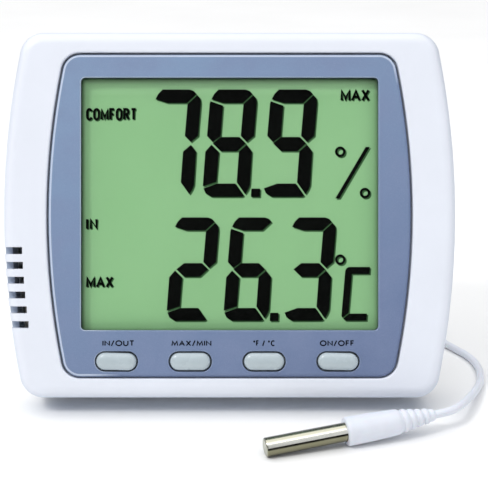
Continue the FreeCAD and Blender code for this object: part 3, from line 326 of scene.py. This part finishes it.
def display_material():
    """The display's reflective green: an even tone, with painted shade under the window's frame and painted
    light just inside it.
    """
    n = Nodes("display_glass")
    across, height = n.along(RIGHT), n.along(UP)
    green, shade = linear(158, 208, 153), linear(10, 34, 15)
    speck = n.noise(2600, 2)
    tone = n.mix(n.ranged(speck, 0.3, 0.7, 0, 0.35), green, linear(148, 198, 146))
    cloud = n.noise(38, 3)
    tone = n.mix(n.ranged(cloud, 0.35, 0.65, 0, 0.5), tone, linear(162, 210, 157))
    # painted light: a paler strip just inside the top and left edges, which lifts the window's real shadow
    bright = linear(188, 236, 182)
    tone = n.mix(n.ranged(height, 83.6, 86.6, 0, 0.75), tone, bright)
    tone = n.mix(n.ranged(across, -39.9, -37.8, 0.35, 0), tone, bright)
    # painted shade along each side of the window: it grows from 0 to its amount, slowly and then fast
    for value, first, last, near, far in ((height, 86.3, 88.45, 0, 0.98), (across, -41.1, -39.6, 0.90, 0),
                                          (across, 39.7, 41.0, 0, 0.40), (height, 18.7, 19.8, 0.34, 0)):
        fall = n.ranged(value, first, last, near, far)
        fall = n.math("MULTIPLY", fall, n.math("DIVIDE", fall, near + far))
        tone = n.mix(fall, tone, shade)
    gloss = n.ranged(cloud, 0.3, 0.7, 0.30, 0.42)
    return n.finish(n.surface(tone, gloss, n.bump(n.noise(1700, 1), 0.1, 0.004), Specular_IOR_Level=0.2))


def window_material():
    """A clear window that light passes straight through, with a faint gloss, hairline scratches and dust."""
    n = Nodes("clear_window")
    hair = n.noise(900, 2, n.stretched((1, 0.06, 0.06), (0.35, 0.2, 0.5)))
    smear = n.noise(45, 4)
    clear = n.tree.nodes.new("ShaderNodeBsdfTransparent")
    clear.inputs["Color"].default_value = (0.985, 0.99, 0.985, 1)
    sheen = n.tree.nodes.new("ShaderNodeBsdfGlossy")
    n.tree.links.new(n.ranged(smear, 0.3, 0.7, 0.04, 0.12), sheen.inputs["Roughness"])
    sheen.inputs["Color"].default_value = (0.9, 0.95, 1, 1)
    n.tree.links.new(n.bump(hair, 0.06, 0.003), sheen.inputs["Normal"])
    fresnel = n.tree.nodes.new("ShaderNodeFresnel")
    fresnel.inputs["IOR"].default_value = 1.12
    dust = n.ranged(smear, 0.55, 0.8, 0.0, 0.002)
    share = n.math("ADD", n.math("MULTIPLY", fresnel.outputs[0], 0.7), dust)
    both = n.tree.nodes.new("ShaderNodeMixShader")
    n.tree.links.new(share, both.inputs[0])
    n.tree.links.new(clear.outputs[0], both.inputs[1])
    n.tree.links.new(sheen.outputs[0], both.inputs[2])
    return n.finish(both.outputs[0])


def ink_material(name, colour, roughness):
    """Printed ink, an energised display segment or the painted shadow of one, with a slightly uneven coverage.
    """
    n = Nodes(name)
    cover = n.noise(3000, 3)
    base = linear(*colour)
    tone = n.mix(n.ranged(cover, 0.35, 0.7, 0, 1), base, scaled(base, 1.5, 0.001))
    return n.finish(n.surface(tone, n.ranged(cover, 0.3, 0.7, roughness, roughness + 0.1),
                             n.bump(cover, 0.1, 0.002), Specular_IOR_Level=0.04))


def film_material():
    """The display's grey reflecting film, with a fine haze."""
    n = Nodes("display_film")
    fine = n.noise(2400, 2)
    tone = n.mix(n.ranged(fine, 0.3, 0.7, 0, 1), linear(176, 186, 176), linear(206, 212, 204))
    return n.finish(n.surface(tone, n.ranged(fine, 0.3, 0.7, 0.25, 0.4), n.bump(fine, 0.2, 0.005)))


def board_material():
    """Green solder mask over copper tracks, which show as paler lines."""
    n = Nodes("board_green")
    tracks = n.tree.nodes.new("ShaderNodeTexBrick")
    n.tree.links.new(n.place, tracks.inputs["Vector"])
    tracks.inputs["Scale"].default_value = 260
    tracks.inputs["Mortar Size"].default_value = 0.035
    tracks.inputs["Color1"].default_value = linear(18, 84, 52)
    tracks.inputs["Color2"].default_value = linear(22, 92, 56)
    tracks.inputs["Mortar"].default_value = linear(66, 138, 84)
    fine = n.noise(1500, 3)
    tone = n.mix(n.ranged(fine, 0.3, 0.7, 0, 0.3), tracks.outputs["Color"], linear(12, 60, 38))
    return n.finish(n.surface(tone, n.ranged(fine, 0.3, 0.7, 0.25, 0.42),
                             n.bump(tracks.outputs["Fac"], 0.3, 0.02), Coat_Weight=0.3))


def jacket_material():
    """The cell's printed jacket: a copper end, a dark scuffed barrel, and two thin silver rings."""
    n = Nodes("cell_jacket")
    across = n.along(RIGHT)
    end = n.ranged(across, 9.7, 9.9, 0, 1)
    tone = n.mix(end, linear(26, 30, 36), linear(176, 108, 62))
    for edge in (9.4, -18.6):
        ring = n.math("COMPARE", across, edge, 0.35)
        tone = n.mix(ring, tone, linear(196, 198, 200))
    scuff = n.noise(420, 5)
    tone = n.mix(n.ranged(scuff, 0.55, 0.75, 0, 0.3), tone, linear(120, 122, 124))
    return n.finish(n.surface(tone, n.ranged(scuff, 0.3, 0.7, 0.22, 0.42), n.bump(scuff, 0.1, 0.01),
                             metallic=0.35))


def wire_material():
    """The red jacket of the thin wires inside, with small dull patches."""
    n = Nodes("wire_jacket")
    fine = n.noise(700, 3)
    tone = n.mix(n.ranged(fine, 0.3, 0.7, 0, 1), linear(168, 34, 32), linear(190, 48, 44))
    return n.finish(n.surface(tone, n.ranged(fine, 0.3, 0.7, 0.35, 0.5), n.bump(fine, 0.2, 0.02)))


steel = steel_material()
panel_paint = bezel_material()
display_green = display_material()
clear_window = window_material()
segment_black = ink_material("segment_black", (4, 5, 4), 0.6)
# the colour of the segments' painted shadows
segment_shadow = ink_material("segment_shadow", (58, 92, 58), 0.6)
print_black = ink_material("print_black", (14, 15, 20), 0.55)
film = film_material()
board_green = board_material()
cell_jacket = jacket_material()
wire_red = wire_material()

FINISHES = {
    abs_white: ["front_housing"],
    abs_back: ["rear_housing", "battery_door", "lcd_frame"],
    stand_white: ["stand"],
    panel_paint: ["bezel_panel"],
    clear_window: ["window_lens"],
    display_green: ["lcd_glass"],
    film: ["lcd_reflector"],
    epoxy_black: ["controller_chip", "tact_switches", "probe_potting", "probe_thermistor", "air_thermistor"],
    rubber_black: ["zebra_strips"],
    board_green: ["circuit_board"],
    board_buff: ["sensor_board"],
    bright: ["quartz_crystal", "case_screws", "board_screws", "positive_contact"],
    spring_metal: ["negative_spring", "passive_components"],
    steel: ["probe_tube"],
    cell_jacket: ["battery_cell"],
    wire_red: ["battery_wires", "sensor_wires", "probe_wires"],
    pvc_white: ["strain_relief", "humidity_sensor", "cord_lead", "cord_coil", "cord_run", "coil_tie",
                "probe_sleeve"],
    button_grey: [kind + name for kind in ("button_", "plunger_")
                  for name in ("in_out", "max_min", "unit", "power")],
}
for material, names in FINISHES.items():
    for name in names:
        mesh = NODES[name].data
        mesh.materials.clear()
        mesh.materials.append(material)


# ---------------------------------------------------------------- making pieces

def piece(name, mesh, material, body="case", smooth=False):
    """Put a mesh into the scene as a piece that rides on a body."""
    obj = bpy.data.objects.new(name, mesh)
    bpy.context.scene.collection.objects.link(obj)
    mesh.materials.append(material)
    if smooth:
        for polygon in mesh.polygons:
            polygon.use_smooth = True
    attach(obj, body)
    return obj


def bare(name, vertices, faces, weld=False):
    """A mesh with its faces turned outwards. weld joins corners that lie in one place."""
    mesh = bpy.data.meshes.new(name)
    mesh.from_pydata([tuple(v) for v in vertices], [], faces)
    work = bmesh.new()
    work.from_mesh(mesh)
    if weld:
        bmesh.ops.remove_doubles(work, verts=work.verts, dist=1e-8)
    bmesh.ops.recalc_face_normals(work, faces=work.faces)
    work.to_mesh(mesh)
    work.free()
    return mesh


def skin(faces, start, count, rows, loop, closed=True):
    """Add the four-sided faces from one row of corners to the next, where the last row joins the first."""
    after = (loop + 1) % rows
    for i in range(count if closed else count - 1):
        j = (i + 1) % count
        faces.append([start + loop * count + i, start + loop * count + j,
                      start + after * count + j, start + after * count + i])


def slabs(name, outlines, level, thick):
    """Flat closed slabs on the case's face, one for each outline of (across, up) corners, as one mesh."""
    vertices, faces = [], []
    for outline in outlines:
        start, count = len(vertices), len(outline)
        vertices += [on_case(x, up, level) for x, up in outline]
        vertices += [on_case(x, up, level + thick) for x, up in outline]
        faces.append([start + i for i in reversed(range(count))])
        faces.append([start + count + i for i in range(count)])
        skin(faces, start, count, 2, 0)
    return bare(name, vertices, faces)


def hoops(name, centres, outer, inner, level, thick, steps=48):
    """Flat closed rings on the case's face, as one mesh."""
    vertices, faces = [], []
    for cx, cu in centres:
        start = len(vertices)
        for radius, height in ((outer, 0), (outer, thick), (inner, thick), (inner, 0)):
            for i in range(steps):
                a = 2 * math.pi * i / steps
                vertices.append(on_case(cx + radius * math.cos(a), cu + radius * math.sin(a), level + height))
        for loop in range(4):
            skin(faces, start, steps, 4, loop)
    return bare(name, vertices, faces)


def arc(cx, cu, rx, ru, start, end, steps=14):
    """Points along an oval, from one angle in degrees to another."""
    return [(cx + rx * math.cos(math.radians(start + (end - start) * i / steps)),
             cu + ru * math.sin(math.radians(start + (end - start) * i / steps))) for i in range(steps + 1)]


def bowl(width, low, high, corner):
    """The stroke of a round letter: a pair of half ovals with straight sides between them."""
    mid, radius = width / 2, min(corner, (high - low) / 2)
    return (arc(mid, high - radius, mid, radius, 0, 180) + arc(mid, low + radius, mid, radius, 180, 360)
            + [(width, high - radius)])


# Each letter is its width and its strokes, on a height of 1; a closed stroke ends where it starts.
# The small letters stand for the display's own narrow capitals.
LETTERS = {
    "A": (0.80, [[(0, 0), (0.40, 1), (0.80, 0)], [(0.15, 0.34), (0.65, 0.34)]]),
    "C": (0.72, [arc(0.44, 0.5, 0.44, 0.5, 50, 310, 24)]),
    "F": (0.46, [[(0, 0), (0, 1), (0.46, 1)], [(0, 0.52), (0.40, 0.52)]]),
    "I": (0.0, [[(0, 0), (0, 1)]]),
    "M": (0.90, [[(0, 0), (0.10, 1), (0.45, 0.12), (0.80, 1), (0.90, 0)]]),
    "N": (0.70, [[(0, 0), (0, 1), (0.70, 0), (0.70, 1)]]),
    "O": (0.94, [bowl(0.94, 0, 1, 0.5)]),
    "R": (0.56, [[(0, 0), (0, 1), (0.26, 1)] + arc(0.26, 0.76, 0.24, 0.24, 90, -90, 10) + [(0, 0.52)],
                 [(0.22, 0.52), (0.56, 0)]]),
    "T": (0.62, [[(0, 1), (0.62, 1)], [(0.31, 1), (0.31, 0)]]),
    "U": (0.66, [[(0, 1), (0, 0.33)] + arc(0.33, 0.33, 0.33, 0.33, 180, 360) + [(0.66, 1)]]),
    "X": (0.68, [[(0, 0), (0.68, 1)], [(0, 1), (0.68, 0)]]),
    "/": (0.40, [[(0, -0.08), (0.40, 1.06)]]),
    "m": (0.84, [[(0, 0), (0, 1), (0.42, 0.15), (0.84, 1), (0.84, 0)]]),
    "c": (0.60, [arc(0.31, 0.68, 0.31, 0.32, 20, 180, 12) + arc(0.31, 0.32, 0.31, 0.32, 180, 340, 12)]),
    "o": (0.66, [bowl(0.66, 0, 1, 0.34)]),
    "f": (0.50, [[(0, 0), (0, 1), (0.50, 1)], [(0, 0.52), (0.42, 0.52)]]),
    "r": (0.60, [[(0, 0), (0, 1), (0.32, 1)] + arc(0.32, 0.76, 0.24, 0.24, 90, -90, 10) + [(0, 0.52)],
                 [(0.30, 0.52), (0.60, 0)]]),
    "'": (0.16, [arc(0.08, 0.86, 0.08, 0.10, 0, 360, 12)]),
    " ": (0.04, []),
}


def ribbon(points, stroke):
    """The two sides of a stroke of even width along a chain of points, mitred, and whether it closes."""
    sides = ([], [])
    count = len(points)
    closed = math.dist(points[0], points[-1]) < 1e-6
    for i, (x, u) in enumerate(points):
        before = points[i - 1] if i else (points[-2] if closed else None)
        after = points[i + 1] if i < count - 1 else (points[1] if closed else None)
        ways = []
        for a, b in ((before, (x, u)), ((x, u), after)):
            if a is not None and b is not None and math.dist(a, b) > 1e-9:
                far = math.dist(a, b)
                ways.append(((b[0] - a[0]) / far, (b[1] - a[1]) / far))
        nx = sum(-way[1] for way in ways) / len(ways)
        nu = sum(way[0] for way in ways) / len(ways)
        size = math.hypot(nx, nu)
        half = stroke / 2 / max(0.45, size) / max(size, 1e-6)
        sides[0].append((x + nx * half, u + nu * half))
        sides[1].append((x - nx * half, u - nu * half))
    return sides, closed


def lettering(name, text, box, level, thick, stroke, gap, material):
    """Printed letters of an even stroke, a gap apart, that fill a box (left, bottom, right, top)."""
    left, low, right, top = box
    wide = sum(LETTERS[c][0] for c in text)
    across = (right - left - stroke * len(text) - gap * (len(text) - 1)) / wide
    tall = top - low - stroke
    vertices, faces, at = [], [], left + stroke / 2
    for c in text:
        width, strokes = LETTERS[c]
        for chain in strokes:
            points = [(at + x * across, low + stroke / 2 + u * tall) for x, u in chain]
            (one, other), closed = ribbon(points, stroke)
            start, count = len(vertices), len(one)
            for side, height in ((one, 0), (one, thick), (other, thick), (other, 0)):
                vertices += [on_case(x, min(max(u, low), top), level + height) for x, u in side]
            for loop in range(4):
                skin(faces, start, count, 4, loop, closed=False)
            if not closed:
                for end in (0, count - 1):
                    faces.append([start + loop * count + end for loop in range(4)])
        at += width * across + stroke + gap
    return piece(name, bare(name, vertices, faces, weld=True), material)


# ---------------------------------------------------------------- cord and coil

CORD_WIDE = 2.2
EXIT = Vector((31.0, 7.5615, 11.488))
COIL_X, COIL_Y = 48.4, 33.4
COIL_OUTER, COIL_INNER = 17.4, 8.6       # the cord's line in the coil's outermost and innermost turns
ROW_LOW, ROW_HIGH = 1.5, 3.7
SPIRAL_TURNS = 4.0                       # turns of each row, on either side of the climb between them
CLIMB_TURNS = 0.5
POINTS_PER_TURN = 16

# out of the strain relief and down to the table behind the case
LEAD = [EXIT, (31, 13.0, 9.2), (31, 17.6, 5.2), (31, 22.6, 2.0), (31, 28.6, 1.5)]
# from the coil round the case's side and up into the sleeve
RUN = [(65.8, 31.0, 3.7), (65.3, 25.6, 2.3), (66.9, 19.6, 1.2), (70.6, 14.0, 1.1), (74.2, 8.0, 1.1),
       (75.2, 0.2, 1.1), (73.6, -7.8, 1.2), (70.6, -15.2, 2.3), (67.2, -21.8, 3.7), (63.6, -28.2, 4.8),
       (59.72, -33.14, 5.60), (54.89, -34.40, 5.30)]


def coil_line():
    """The coil: a row that winds in on the table, a climb of half a turn, and a row that winds out."""
    points = []
    pitch = (COIL_OUTER - COIL_INNER) / SPIRAL_TURNS
    for i in range(int((2 * SPIRAL_TURNS + CLIMB_TURNS) * POINTS_PER_TURN) + 1):
        turn = i / POINTS_PER_TURN
        past = turn - SPIRAL_TURNS - CLIMB_TURNS
        if turn < SPIRAL_TURNS:
            radius, level = COIL_OUTER - pitch * turn, ROW_LOW
        elif past < 0:
            share = (turn - SPIRAL_TURNS) / CLIMB_TURNS
            radius, level = COIL_INNER, ROW_LOW + (ROW_HIGH - ROW_LOW) * math.sin(math.pi / 2 * share)
        else:
            radius, level = COIL_INNER + pitch * past, ROW_HIGH
        angle = math.pi - 2 * math.pi * turn
        points.append((COIL_X + radius * math.cos(angle), COIL_Y + radius * math.sin(angle), level))
    return points


route = [Vector(point) for point in LEAD + coil_line() + RUN]
line = bpy.data.curves.new("probe_cord", "CURVE")
line.dimensions = "3D"
line.bevel_depth = CORD_WIDE / 2 * MM
line.bevel_resolution = 6
line.use_fill_caps = True
spline = line.splines.new("NURBS")
spline.points.add(len(route) - 1)
for target, source in zip(spline.points, route):
    target.co = (*(source * MM), 1)
spline.order_u = 3
spline.use_endpoint_u = True
spline.resolution_u = 8
line.materials.append(pvc_white)
cord = bpy.data.objects.new("probe_cord", line)
bpy.context.scene.collection.objects.link(cord)
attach(cord, "case")
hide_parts("cord_lead", "cord_coil", "cord_run")


# ---------------------------------------------------------------- probe sleeve and the coil's tie

def lathe(name, profile, steps=72):
    """A closed turned piece about the probe's axis, from (distance, radius) pairs that start and end there."""
    vertices, faces, rings = [], [], []
    for distance, radius in profile:
        middle = PROBE_TIP + PROBE_AIM * distance
        if radius == 0:
            rings.append([len(vertices)] * steps)
            vertices.append(middle * MM)
            continue
        rings.append(list(range(len(vertices), len(vertices) + steps)))
        for i in range(steps):
            a = 2 * math.pi * i / steps
            vertices.append((middle + radius * (PROBE_SIDE * math.cos(a) + PROBE_TOP * math.sin(a))) * MM)
    for first, second in zip(rings, rings[1:]):
        for i in range(steps):
            j = (i + 1) % steps
            faces.append(list(dict.fromkeys((first[i], first[j], second[j], second[i]))))
    return bare(name, vertices, faces)


SLEEVE_START = 22.0     # from the probe's tip
SLEEVE_LONG = 25.2
SLEEVE_R = 3.8
TUBE_R = 2.5
RIBS = 4
RIB_START, RIB_PITCH = 15.75, 2.05
RIB_DEEP = 0.42


def sleeve_profile():
    """The moulded sleeve: a soft front lip, a full barrel, a shoulder, and ribs that shrink to the cord."""
    points = [(0.0, 0.0), (0.0, TUBE_R - 0.6), (0.0, SLEEVE_R - 0.55), (0.10, SLEEVE_R - 0.22),
              (0.32, SLEEVE_R - 0.05), (0.7, SLEEVE_R)]
    points += [(distance, SLEEVE_R * share) for distance, share in (
        (3.0, 1), (6.0, 0.99), (9.0, 0.965), (12.0, 0.93), (14.0, 0.90), (14.7, 0.88), (15.1, 0.80),
        (15.35, 0.755), (15.6, 0.75))]
    for i in range(RIBS):
        start = RIB_START + RIB_PITCH * i
        crest = SLEEVE_R * (0.81 - 0.085 * i)
        dip = crest - RIB_DEEP
        points += [(start, dip + 0.03), (start + 0.10, dip + 0.25), (start + 0.28, crest - 0.03),
                   (start + 0.7, crest), (start + 1.15, crest - 0.05), (start + 1.38, crest - 0.24),
                   (start + 1.52, dip + 0.03), (start + 1.75, dip - 0.05)]
    points += [(24.1, 1.72), (24.6, 1.66), (25.0, 1.52), (SLEEVE_LONG, 1.25), (SLEEVE_LONG, 0.0)]
    return [(SLEEVE_START + distance, radius) for distance, radius in points]


sleeve = piece("probe_sleeve_ribbed", lathe("probe_sleeve_ribbed", sleeve_profile()), pvc_white,
               smooth=True)
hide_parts("probe_sleeve")


TIE_THICK, TIE_WIDE = 0.35, 5.0
TIE_NEAR, TIE_FAR = 7.25, 18.75          # the band's inner and outer side, out from the coil's middle
TIE_LOW, TIE_HIGH, TIE_CORNER = 0.03, 5.0, 1.1
CORNER_STEPS = 8
TWIST_STEPS, TWIST_ANGLE, TWIST_LONG = 24, 2.2 * math.pi, 7.5


def tie_band():
    """The corners and faces of a flat band with rounded turns round the coil's section."""
    loop = []
    near, far = TIE_NEAR + TIE_CORNER, TIE_FAR - TIE_CORNER
    low, high = TIE_LOW + TIE_CORNER, TIE_HIGH - TIE_CORNER
    for cy, cz, start in ((far, high, 0), (near, high, 90), (near, low, 180), (far, low, 270)):
        for i in range(CORNER_STEPS + 1):
            a = math.radians(start + 90 * i / CORNER_STEPS)
            out_y, out_z = math.cos(a), math.sin(a)
            loop.append((cy + TIE_CORNER * out_y, cz + TIE_CORNER * out_z, out_y, out_z))
    half = TIE_WIDE / 2
    section = [(-half, 0.10), (-half + 0.15, 0), (half - 0.15, 0), (half, 0.10)]     # across, eased edge
    rows = ([(x, -inset) for x, inset in section]
            + [(x, inset - TIE_THICK) for x, inset in reversed(section)])
    vertices, faces = [], []
    for x, step in rows:
        for y, z, out_y, out_z in loop:
            vertices.append(Vector((COIL_X + x, COIL_Y + y + step * out_y, z + step * out_z)) * MM)
    for row in range(len(rows)):
        skin(faces, 0, len(loop), len(rows), row)
    return vertices, faces


def tie_mesh():
    """The band, and its two twisted ends, which lie inside the coil."""
    vertices, faces = tie_band()
    for turn in (0, 1):
        start = len(vertices)
        for k in range(TWIST_STEPS + 1):
            t = k / TWIST_STEPS
            a = math.pi * turn + TWIST_ANGLE * t
            centre = Vector((COIL_X + 0.9 * math.cos(a) * (1 - 0.3 * t) + 3 * t * t,
                             COIL_Y + TIE_NEAR - 0.5 - TWIST_LONG * t, 2.6 + 0.5 * math.sin(a) - 1.3 * t))
            for dx, dz in ((-0.55, -0.15), (0.55, -0.15), (0.55, 0.15), (-0.55, 0.15)):
                turned = Vector((dx * math.cos(a) - dz * math.sin(a), 0, dx * math.sin(a) + dz * math.cos(a)))
                vertices.append((centre + turned) * MM)
        for k in range(TWIST_STEPS):
            skin(faces, start, 4, TWIST_STEPS + 1, k)
        faces.append([start + 3, start + 2, start + 1, start])
        faces.append([start + 4 * TWIST_STEPS + i for i in range(4)])
    return bare("coil_twist_tie", vertices, faces)


tie = piece("coil_twist_tie", tie_mesh(), rubber_black)
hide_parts("coil_tie")

# ---------------------------------------------------------------- display segments

# the seven segments of an upright figure, named clockwise from the top, with the bar across last
SEGMENTS = {
    "a": [(0.35, 26.75), (1.0, 28.2), (2.1, 29.4), (9.5, 29.4), (10.7, 29.0), (11.5, 28.1), (9.1, 25.7),
          (3.7, 25.7)],
    "b": [(11.75, 27.85), (12.6, 27.0), (12.9, 25.8), (12.9, 16.7), (11.0, 15.0), (9.25, 16.7),
          (9.25, 25.35)],
    "c": [(11.1, 14.25), (12.7, 12.4), (12.9, 3.2), (12.5, 1.9), (11.8, 0.7), (9.2, 4.0), (9.1, 12.4)],
    "d": [(0.25, 2.35), (0.9, 1.0), (2.6, 0), (10.9, 0), (11.5, 0.3), (8.9, 3.65), (3.8, 3.65)],
    "e": [(1.4, 14.3), (-0.1, 12.4), (0, 2.9), (3.65, 4.1), (3.65, 12.3)],
    "f": [(0.15, 26.2), (0, 25.5), (0, 16.7), (1.7, 15.0), (3.75, 16.6), (3.7, 25.0)],
    "g": [(1.75, 14.65), (3.8, 16.4), (8.9, 16.4), (10.8, 14.7), (8.6, 12.5), (4.1, 12.5)],
}
LIT = {"7": "abc", "8": "abcdefg", "9": "abcdfg", "2": "abged", "6": "afgecd", "3": "abgcd"}
SLANT = 0.084
# each row is its figures with their left sides, its bottom and its scale
UPPER_ROW = (("7", -23.25), ("8", -7.72), ("9", 9.03)), 55.61, 1.014
LOWER_ROW = (("2", -17.72), ("6", -1.89), ("3", 14.81)), 21.19, 1.014 * 0.963


def digits(figures, low, scale):
    """The outlines of the lit segments of a row of figures."""
    return [[(left + scale * (x + SLANT * y), low + scale * y) for x, y in SEGMENTS[letter]]
            for figure, left in figures for letter in LIT[figure]]


def oblong(x0, u0, x1, u1, corner=0.12):
    """A slanted block with clipped corners, such as a decimal point."""
    points = [(x0 + corner, u0), (x1 - corner, u0), (x1, u0 + corner), (x1, u1 - corner), (x1 - corner, u1),
              (x0 + corner, u1), (x0, u1 - corner), (x0, u0 + corner)]
    return [(x + SLANT * (u - u0) * 0.5, u) for x, u in points]


def unit_letter():
    """The display's own C: a top bar, an upright and a foot, with a fine cut between upright and foot."""
    left, low, right, top, stroke = 30.92, 21.25, 38.97, 36.14, 1.95

    def lean(points):
        return [(left + x + SLANT * y, low + y) for x, y in points]

    tall = top - low
    wide = right - left - SLANT * tall
    upper = lean([(wide, tall), (0.9, tall), (0.25, tall - 0.4), (0, tall - 1.1), (0, 1.35), (0.35, 0.75),
                  (stroke, stroke + 0.25), (stroke, tall - stroke), (wide, tall - stroke)])
    foot = lean([(0.55, 0.55), (1.2, 0), (wide + 0.25, 0), (wide + 0.25, stroke), (stroke + 0.2, stroke)])
    return [upper, foot]


def slash(x0, u0, x1, u1, stroke):
    """The bar of the percent sign."""
    half = stroke / 2
    return [(x0 - half, u0), (x0 + half, u0), (x1 + half, u1), (x1 - half, u1)]


upper = digits(*UPPER_ROW) + [oblong(5.91, 55.58, 8.39, 57.92), slash(29.92, 55.19, 38.33, 69.47, 1.15)]
lower = digits(*LOWER_ROW) + [oblong(11.11, 21.14, 13.47, 23.42)] + unit_letter()
RINGS = ((30.69, 68.16), (37.56, 56.69), (30.69, 38.19))     # of the percent sign, and the degree sign
RING_OUTER, RING_INNER = 1.45, 0.78
WORD_STROKE = 0.68
# each word is its piece, its letters, its box and the gap between its letters
WORDS = (("word_max_upper", "mAX", (30.78, 82.11, 38.89, 85.58), 0.12),
         ("word_comfort", "comforT", (-39.91, 76.8, -25.75, 80.3), 0.12),
         ("word_in", "IN", (-39.91, 46.42, -36.66, 49.75), 0.34),
         ("word_max_lower", "mAX", (-39.91, 30.3, -32.25, 33.64), 0.12))
SHADOW = 0.36           # how far right and down the segments' painted shadows fall, as on the film behind
WORD_SHADOW = 0.7       # a word's share of that


def shifted(outlines, shift):
    return [[(x + shift, u - shift) for x, u in outline] for outline in outlines]


# painted shadow: a dark green copy of every segment, ring and word, moved right and down, lies under the black
# ink
for layer, ink, shift, level in (("shadow", segment_shadow, SHADOW, SHADOW_LEVEL),
                                 ("ink", segment_black, 0, INK_LEVEL)):
    for name, outlines in (("digits_upper_", upper), ("digits_lower_", lower)):
        mesh = slabs(name + layer, shifted(outlines, shift), level, INK_THICK)
        piece(name + layer, mesh, ink)
    mesh = hoops("unit_rings_" + layer, shifted([RINGS], shift)[0], RING_OUTER, RING_INNER, level, INK_THICK)
    piece("unit_rings_" + layer, mesh, ink)
    less = shift * WORD_SHADOW
    for name, text, (left, low, right, top), gap in WORDS:
        lettering(name + "_" + layer, text, (left + less, low - less, right + less, top - less), level,
                  INK_THICK, WORD_STROKE, gap, ink)

# ---------------------------------------------------------------- printed labels over the buttons

LABEL_LOW, LABEL_TALL = 14.48, 1.62
LABEL_LEVEL, LABEL_THICK = PANEL_FACE + 0.005, 0.025
LABEL_STROKE, LABEL_GAP = 0.34, 0.22
for name, text, left, right in (("label_in_out", "IN/OUT", -34.92, -26.13),
                                ("label_max_min", "MAX/MIN", -15.96, -4.97),
                                ("label_unit", "'F / 'C", 6.52, 12.46),
                                ("label_power", "ON/OFF", 24.79, 34.26)):
    lettering(name, text, (left, LABEL_LOW, right, LABEL_LOW + LABEL_TALL), LABEL_LEVEL, LABEL_THICK,
              LABEL_STROKE, LABEL_GAP, print_black)

# ---------------------------------------------------------------- button caps

BUTTON_WIDE, BUTTON_TALL, BUTTON_UP = 11.0, 4.7, 10.25
# each button is its name, its middle across, and its turn in degrees, which follows the panel's lower edge
BUTTONS = (("in_out", -31.1, -1.4), ("max_min", -10.8, 0.0), ("unit", 9.5, 0.0), ("power", 29.8, -1.4))
# how far in from the pill's outline, and how far out from the case's back
FLANGE = [(-1.15, 18.75), (-1.15, 19.45), (-0.02, 19.5)]
CROWN = [(0.0, 19.55), (0.0, 21.35), (0.05, 21.6), (0.17, 21.83), (0.36, 22.02), (0.62, 22.18), (0.95, 22.31),
         (1.35, 22.42), (1.75, 22.5), (2.1, 22.54), (2.3, 22.55)]


def button_mesh(name, middle, turn):
    """A crowned pill on its flange: rings of one outline, each further in and further up than the last."""
    straight, steps = (BUTTON_WIDE - BUTTON_TALL) / 2, 20
    cos, sin = math.cos(math.radians(turn)), math.sin(math.radians(turn))
    vertices, faces, count = [], [], 2 * (steps + 1)
    for inset, level in FLANGE + CROWN:
        radius = BUTTON_TALL / 2 - inset
        for side, start in ((1, -90), (-1, 90)):
            for i in range(steps + 1):
                a = math.radians(start + 180 * i / steps)
                x, u = side * straight + radius * math.cos(a), radius * math.sin(a)
                vertices.append(on_case(middle + x * cos - u * sin, BUTTON_UP + x * sin + u * cos, level))
    rings = len(FLANGE + CROWN)
    for ring in range(rings - 1):
        skin(faces, 0, count, rings, ring)
    faces.append(list(range(count)))
    faces.append([(rings - 1) * count + i for i in range(count)])
    return bare(name, vertices, faces)


for name, middle, turn in BUTTONS:
    body = "button_" + name
    mesh = button_mesh("cap_" + name, middle, turn)
    cap = piece("cap_" + name, mesh, button_grey, body, smooth=True)
    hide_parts(body)

# ---------------------------------------------------------------- floor, world and lights

FLOOR_HALF = 4.0        # in metres
floor_mesh = bpy.data.meshes.new("floor")
work = bmesh.new()
bmesh.ops.create_grid(work, x_segments=8, y_segments=8, size=FLOOR_HALF)
work.to_mesh(floor_mesh)
work.free()
floor = bpy.data.objects.new("floor", floor_mesh)
bpy.context.scene.collection.objects.link(floor)
n = Nodes("pale_floor")
soft = n.noise(7, 3)
tone = n.mix(n.ranged(soft, 0.3, 0.7, 0, 1), linear(247, 247, 247), linear(250, 250, 250))
gloss = n.ranged(soft, 0.3, 0.7, 0.75, 0.85)
floor_mesh.materials.append(n.finish(n.surface(tone, gloss, Specular_IOR_Level=0.15)))

world = bpy.data.worlds.new("studio")
bpy.context.scene.world = world
world.use_nodes = True
tree = world.node_tree
tree.nodes.clear()
sky = tree.nodes.new("ShaderNodeBackground")
sky.inputs["Color"].default_value = (0.97, 0.985, 1, 1)
sky.inputs["Strength"].default_value = 0.20
tree.links.new(sky.outputs[0], tree.nodes.new("ShaderNodeOutputWorld").inputs["Surface"])


def area_light(name, place, aim, side, power, colour=(1, 1, 1)):
    """A square light, its side in metres and its power in watts."""
    data = bpy.data.lights.new(name, "AREA")
    data.shape = "RECTANGLE"
    data.size = data.size_y = side
    data.energy = power
    data.color = colour
    obj = bpy.data.objects.new(name, data)
    obj.location = place
    obj.rotation_euler = (aim - place).to_track_quat("-Z", "Y").to_euler()
    bpy.context.scene.collection.objects.link(obj)


CENTRE = on_case(0, 50, 10)
area_light("key", on_case(-700, 880, 920), CENTRE, 0.26, 5.8)
area_light("fill", on_case(620, 160, 520), CENTRE, 0.9, 1.2, (0.95, 0.97, 1))
overhead = bpy.data.lights.new("overhead", "SUN")
overhead.energy = 2.5
overhead.angle = math.radians(100)
lamp = bpy.data.objects.new("overhead", overhead)
lamp.rotation_euler = (math.radians(-8), math.radians(-10), 0)
bpy.context.scene.collection.objects.link(lamp)

bpy.context.scene.view_settings.view_transform = "Standard"
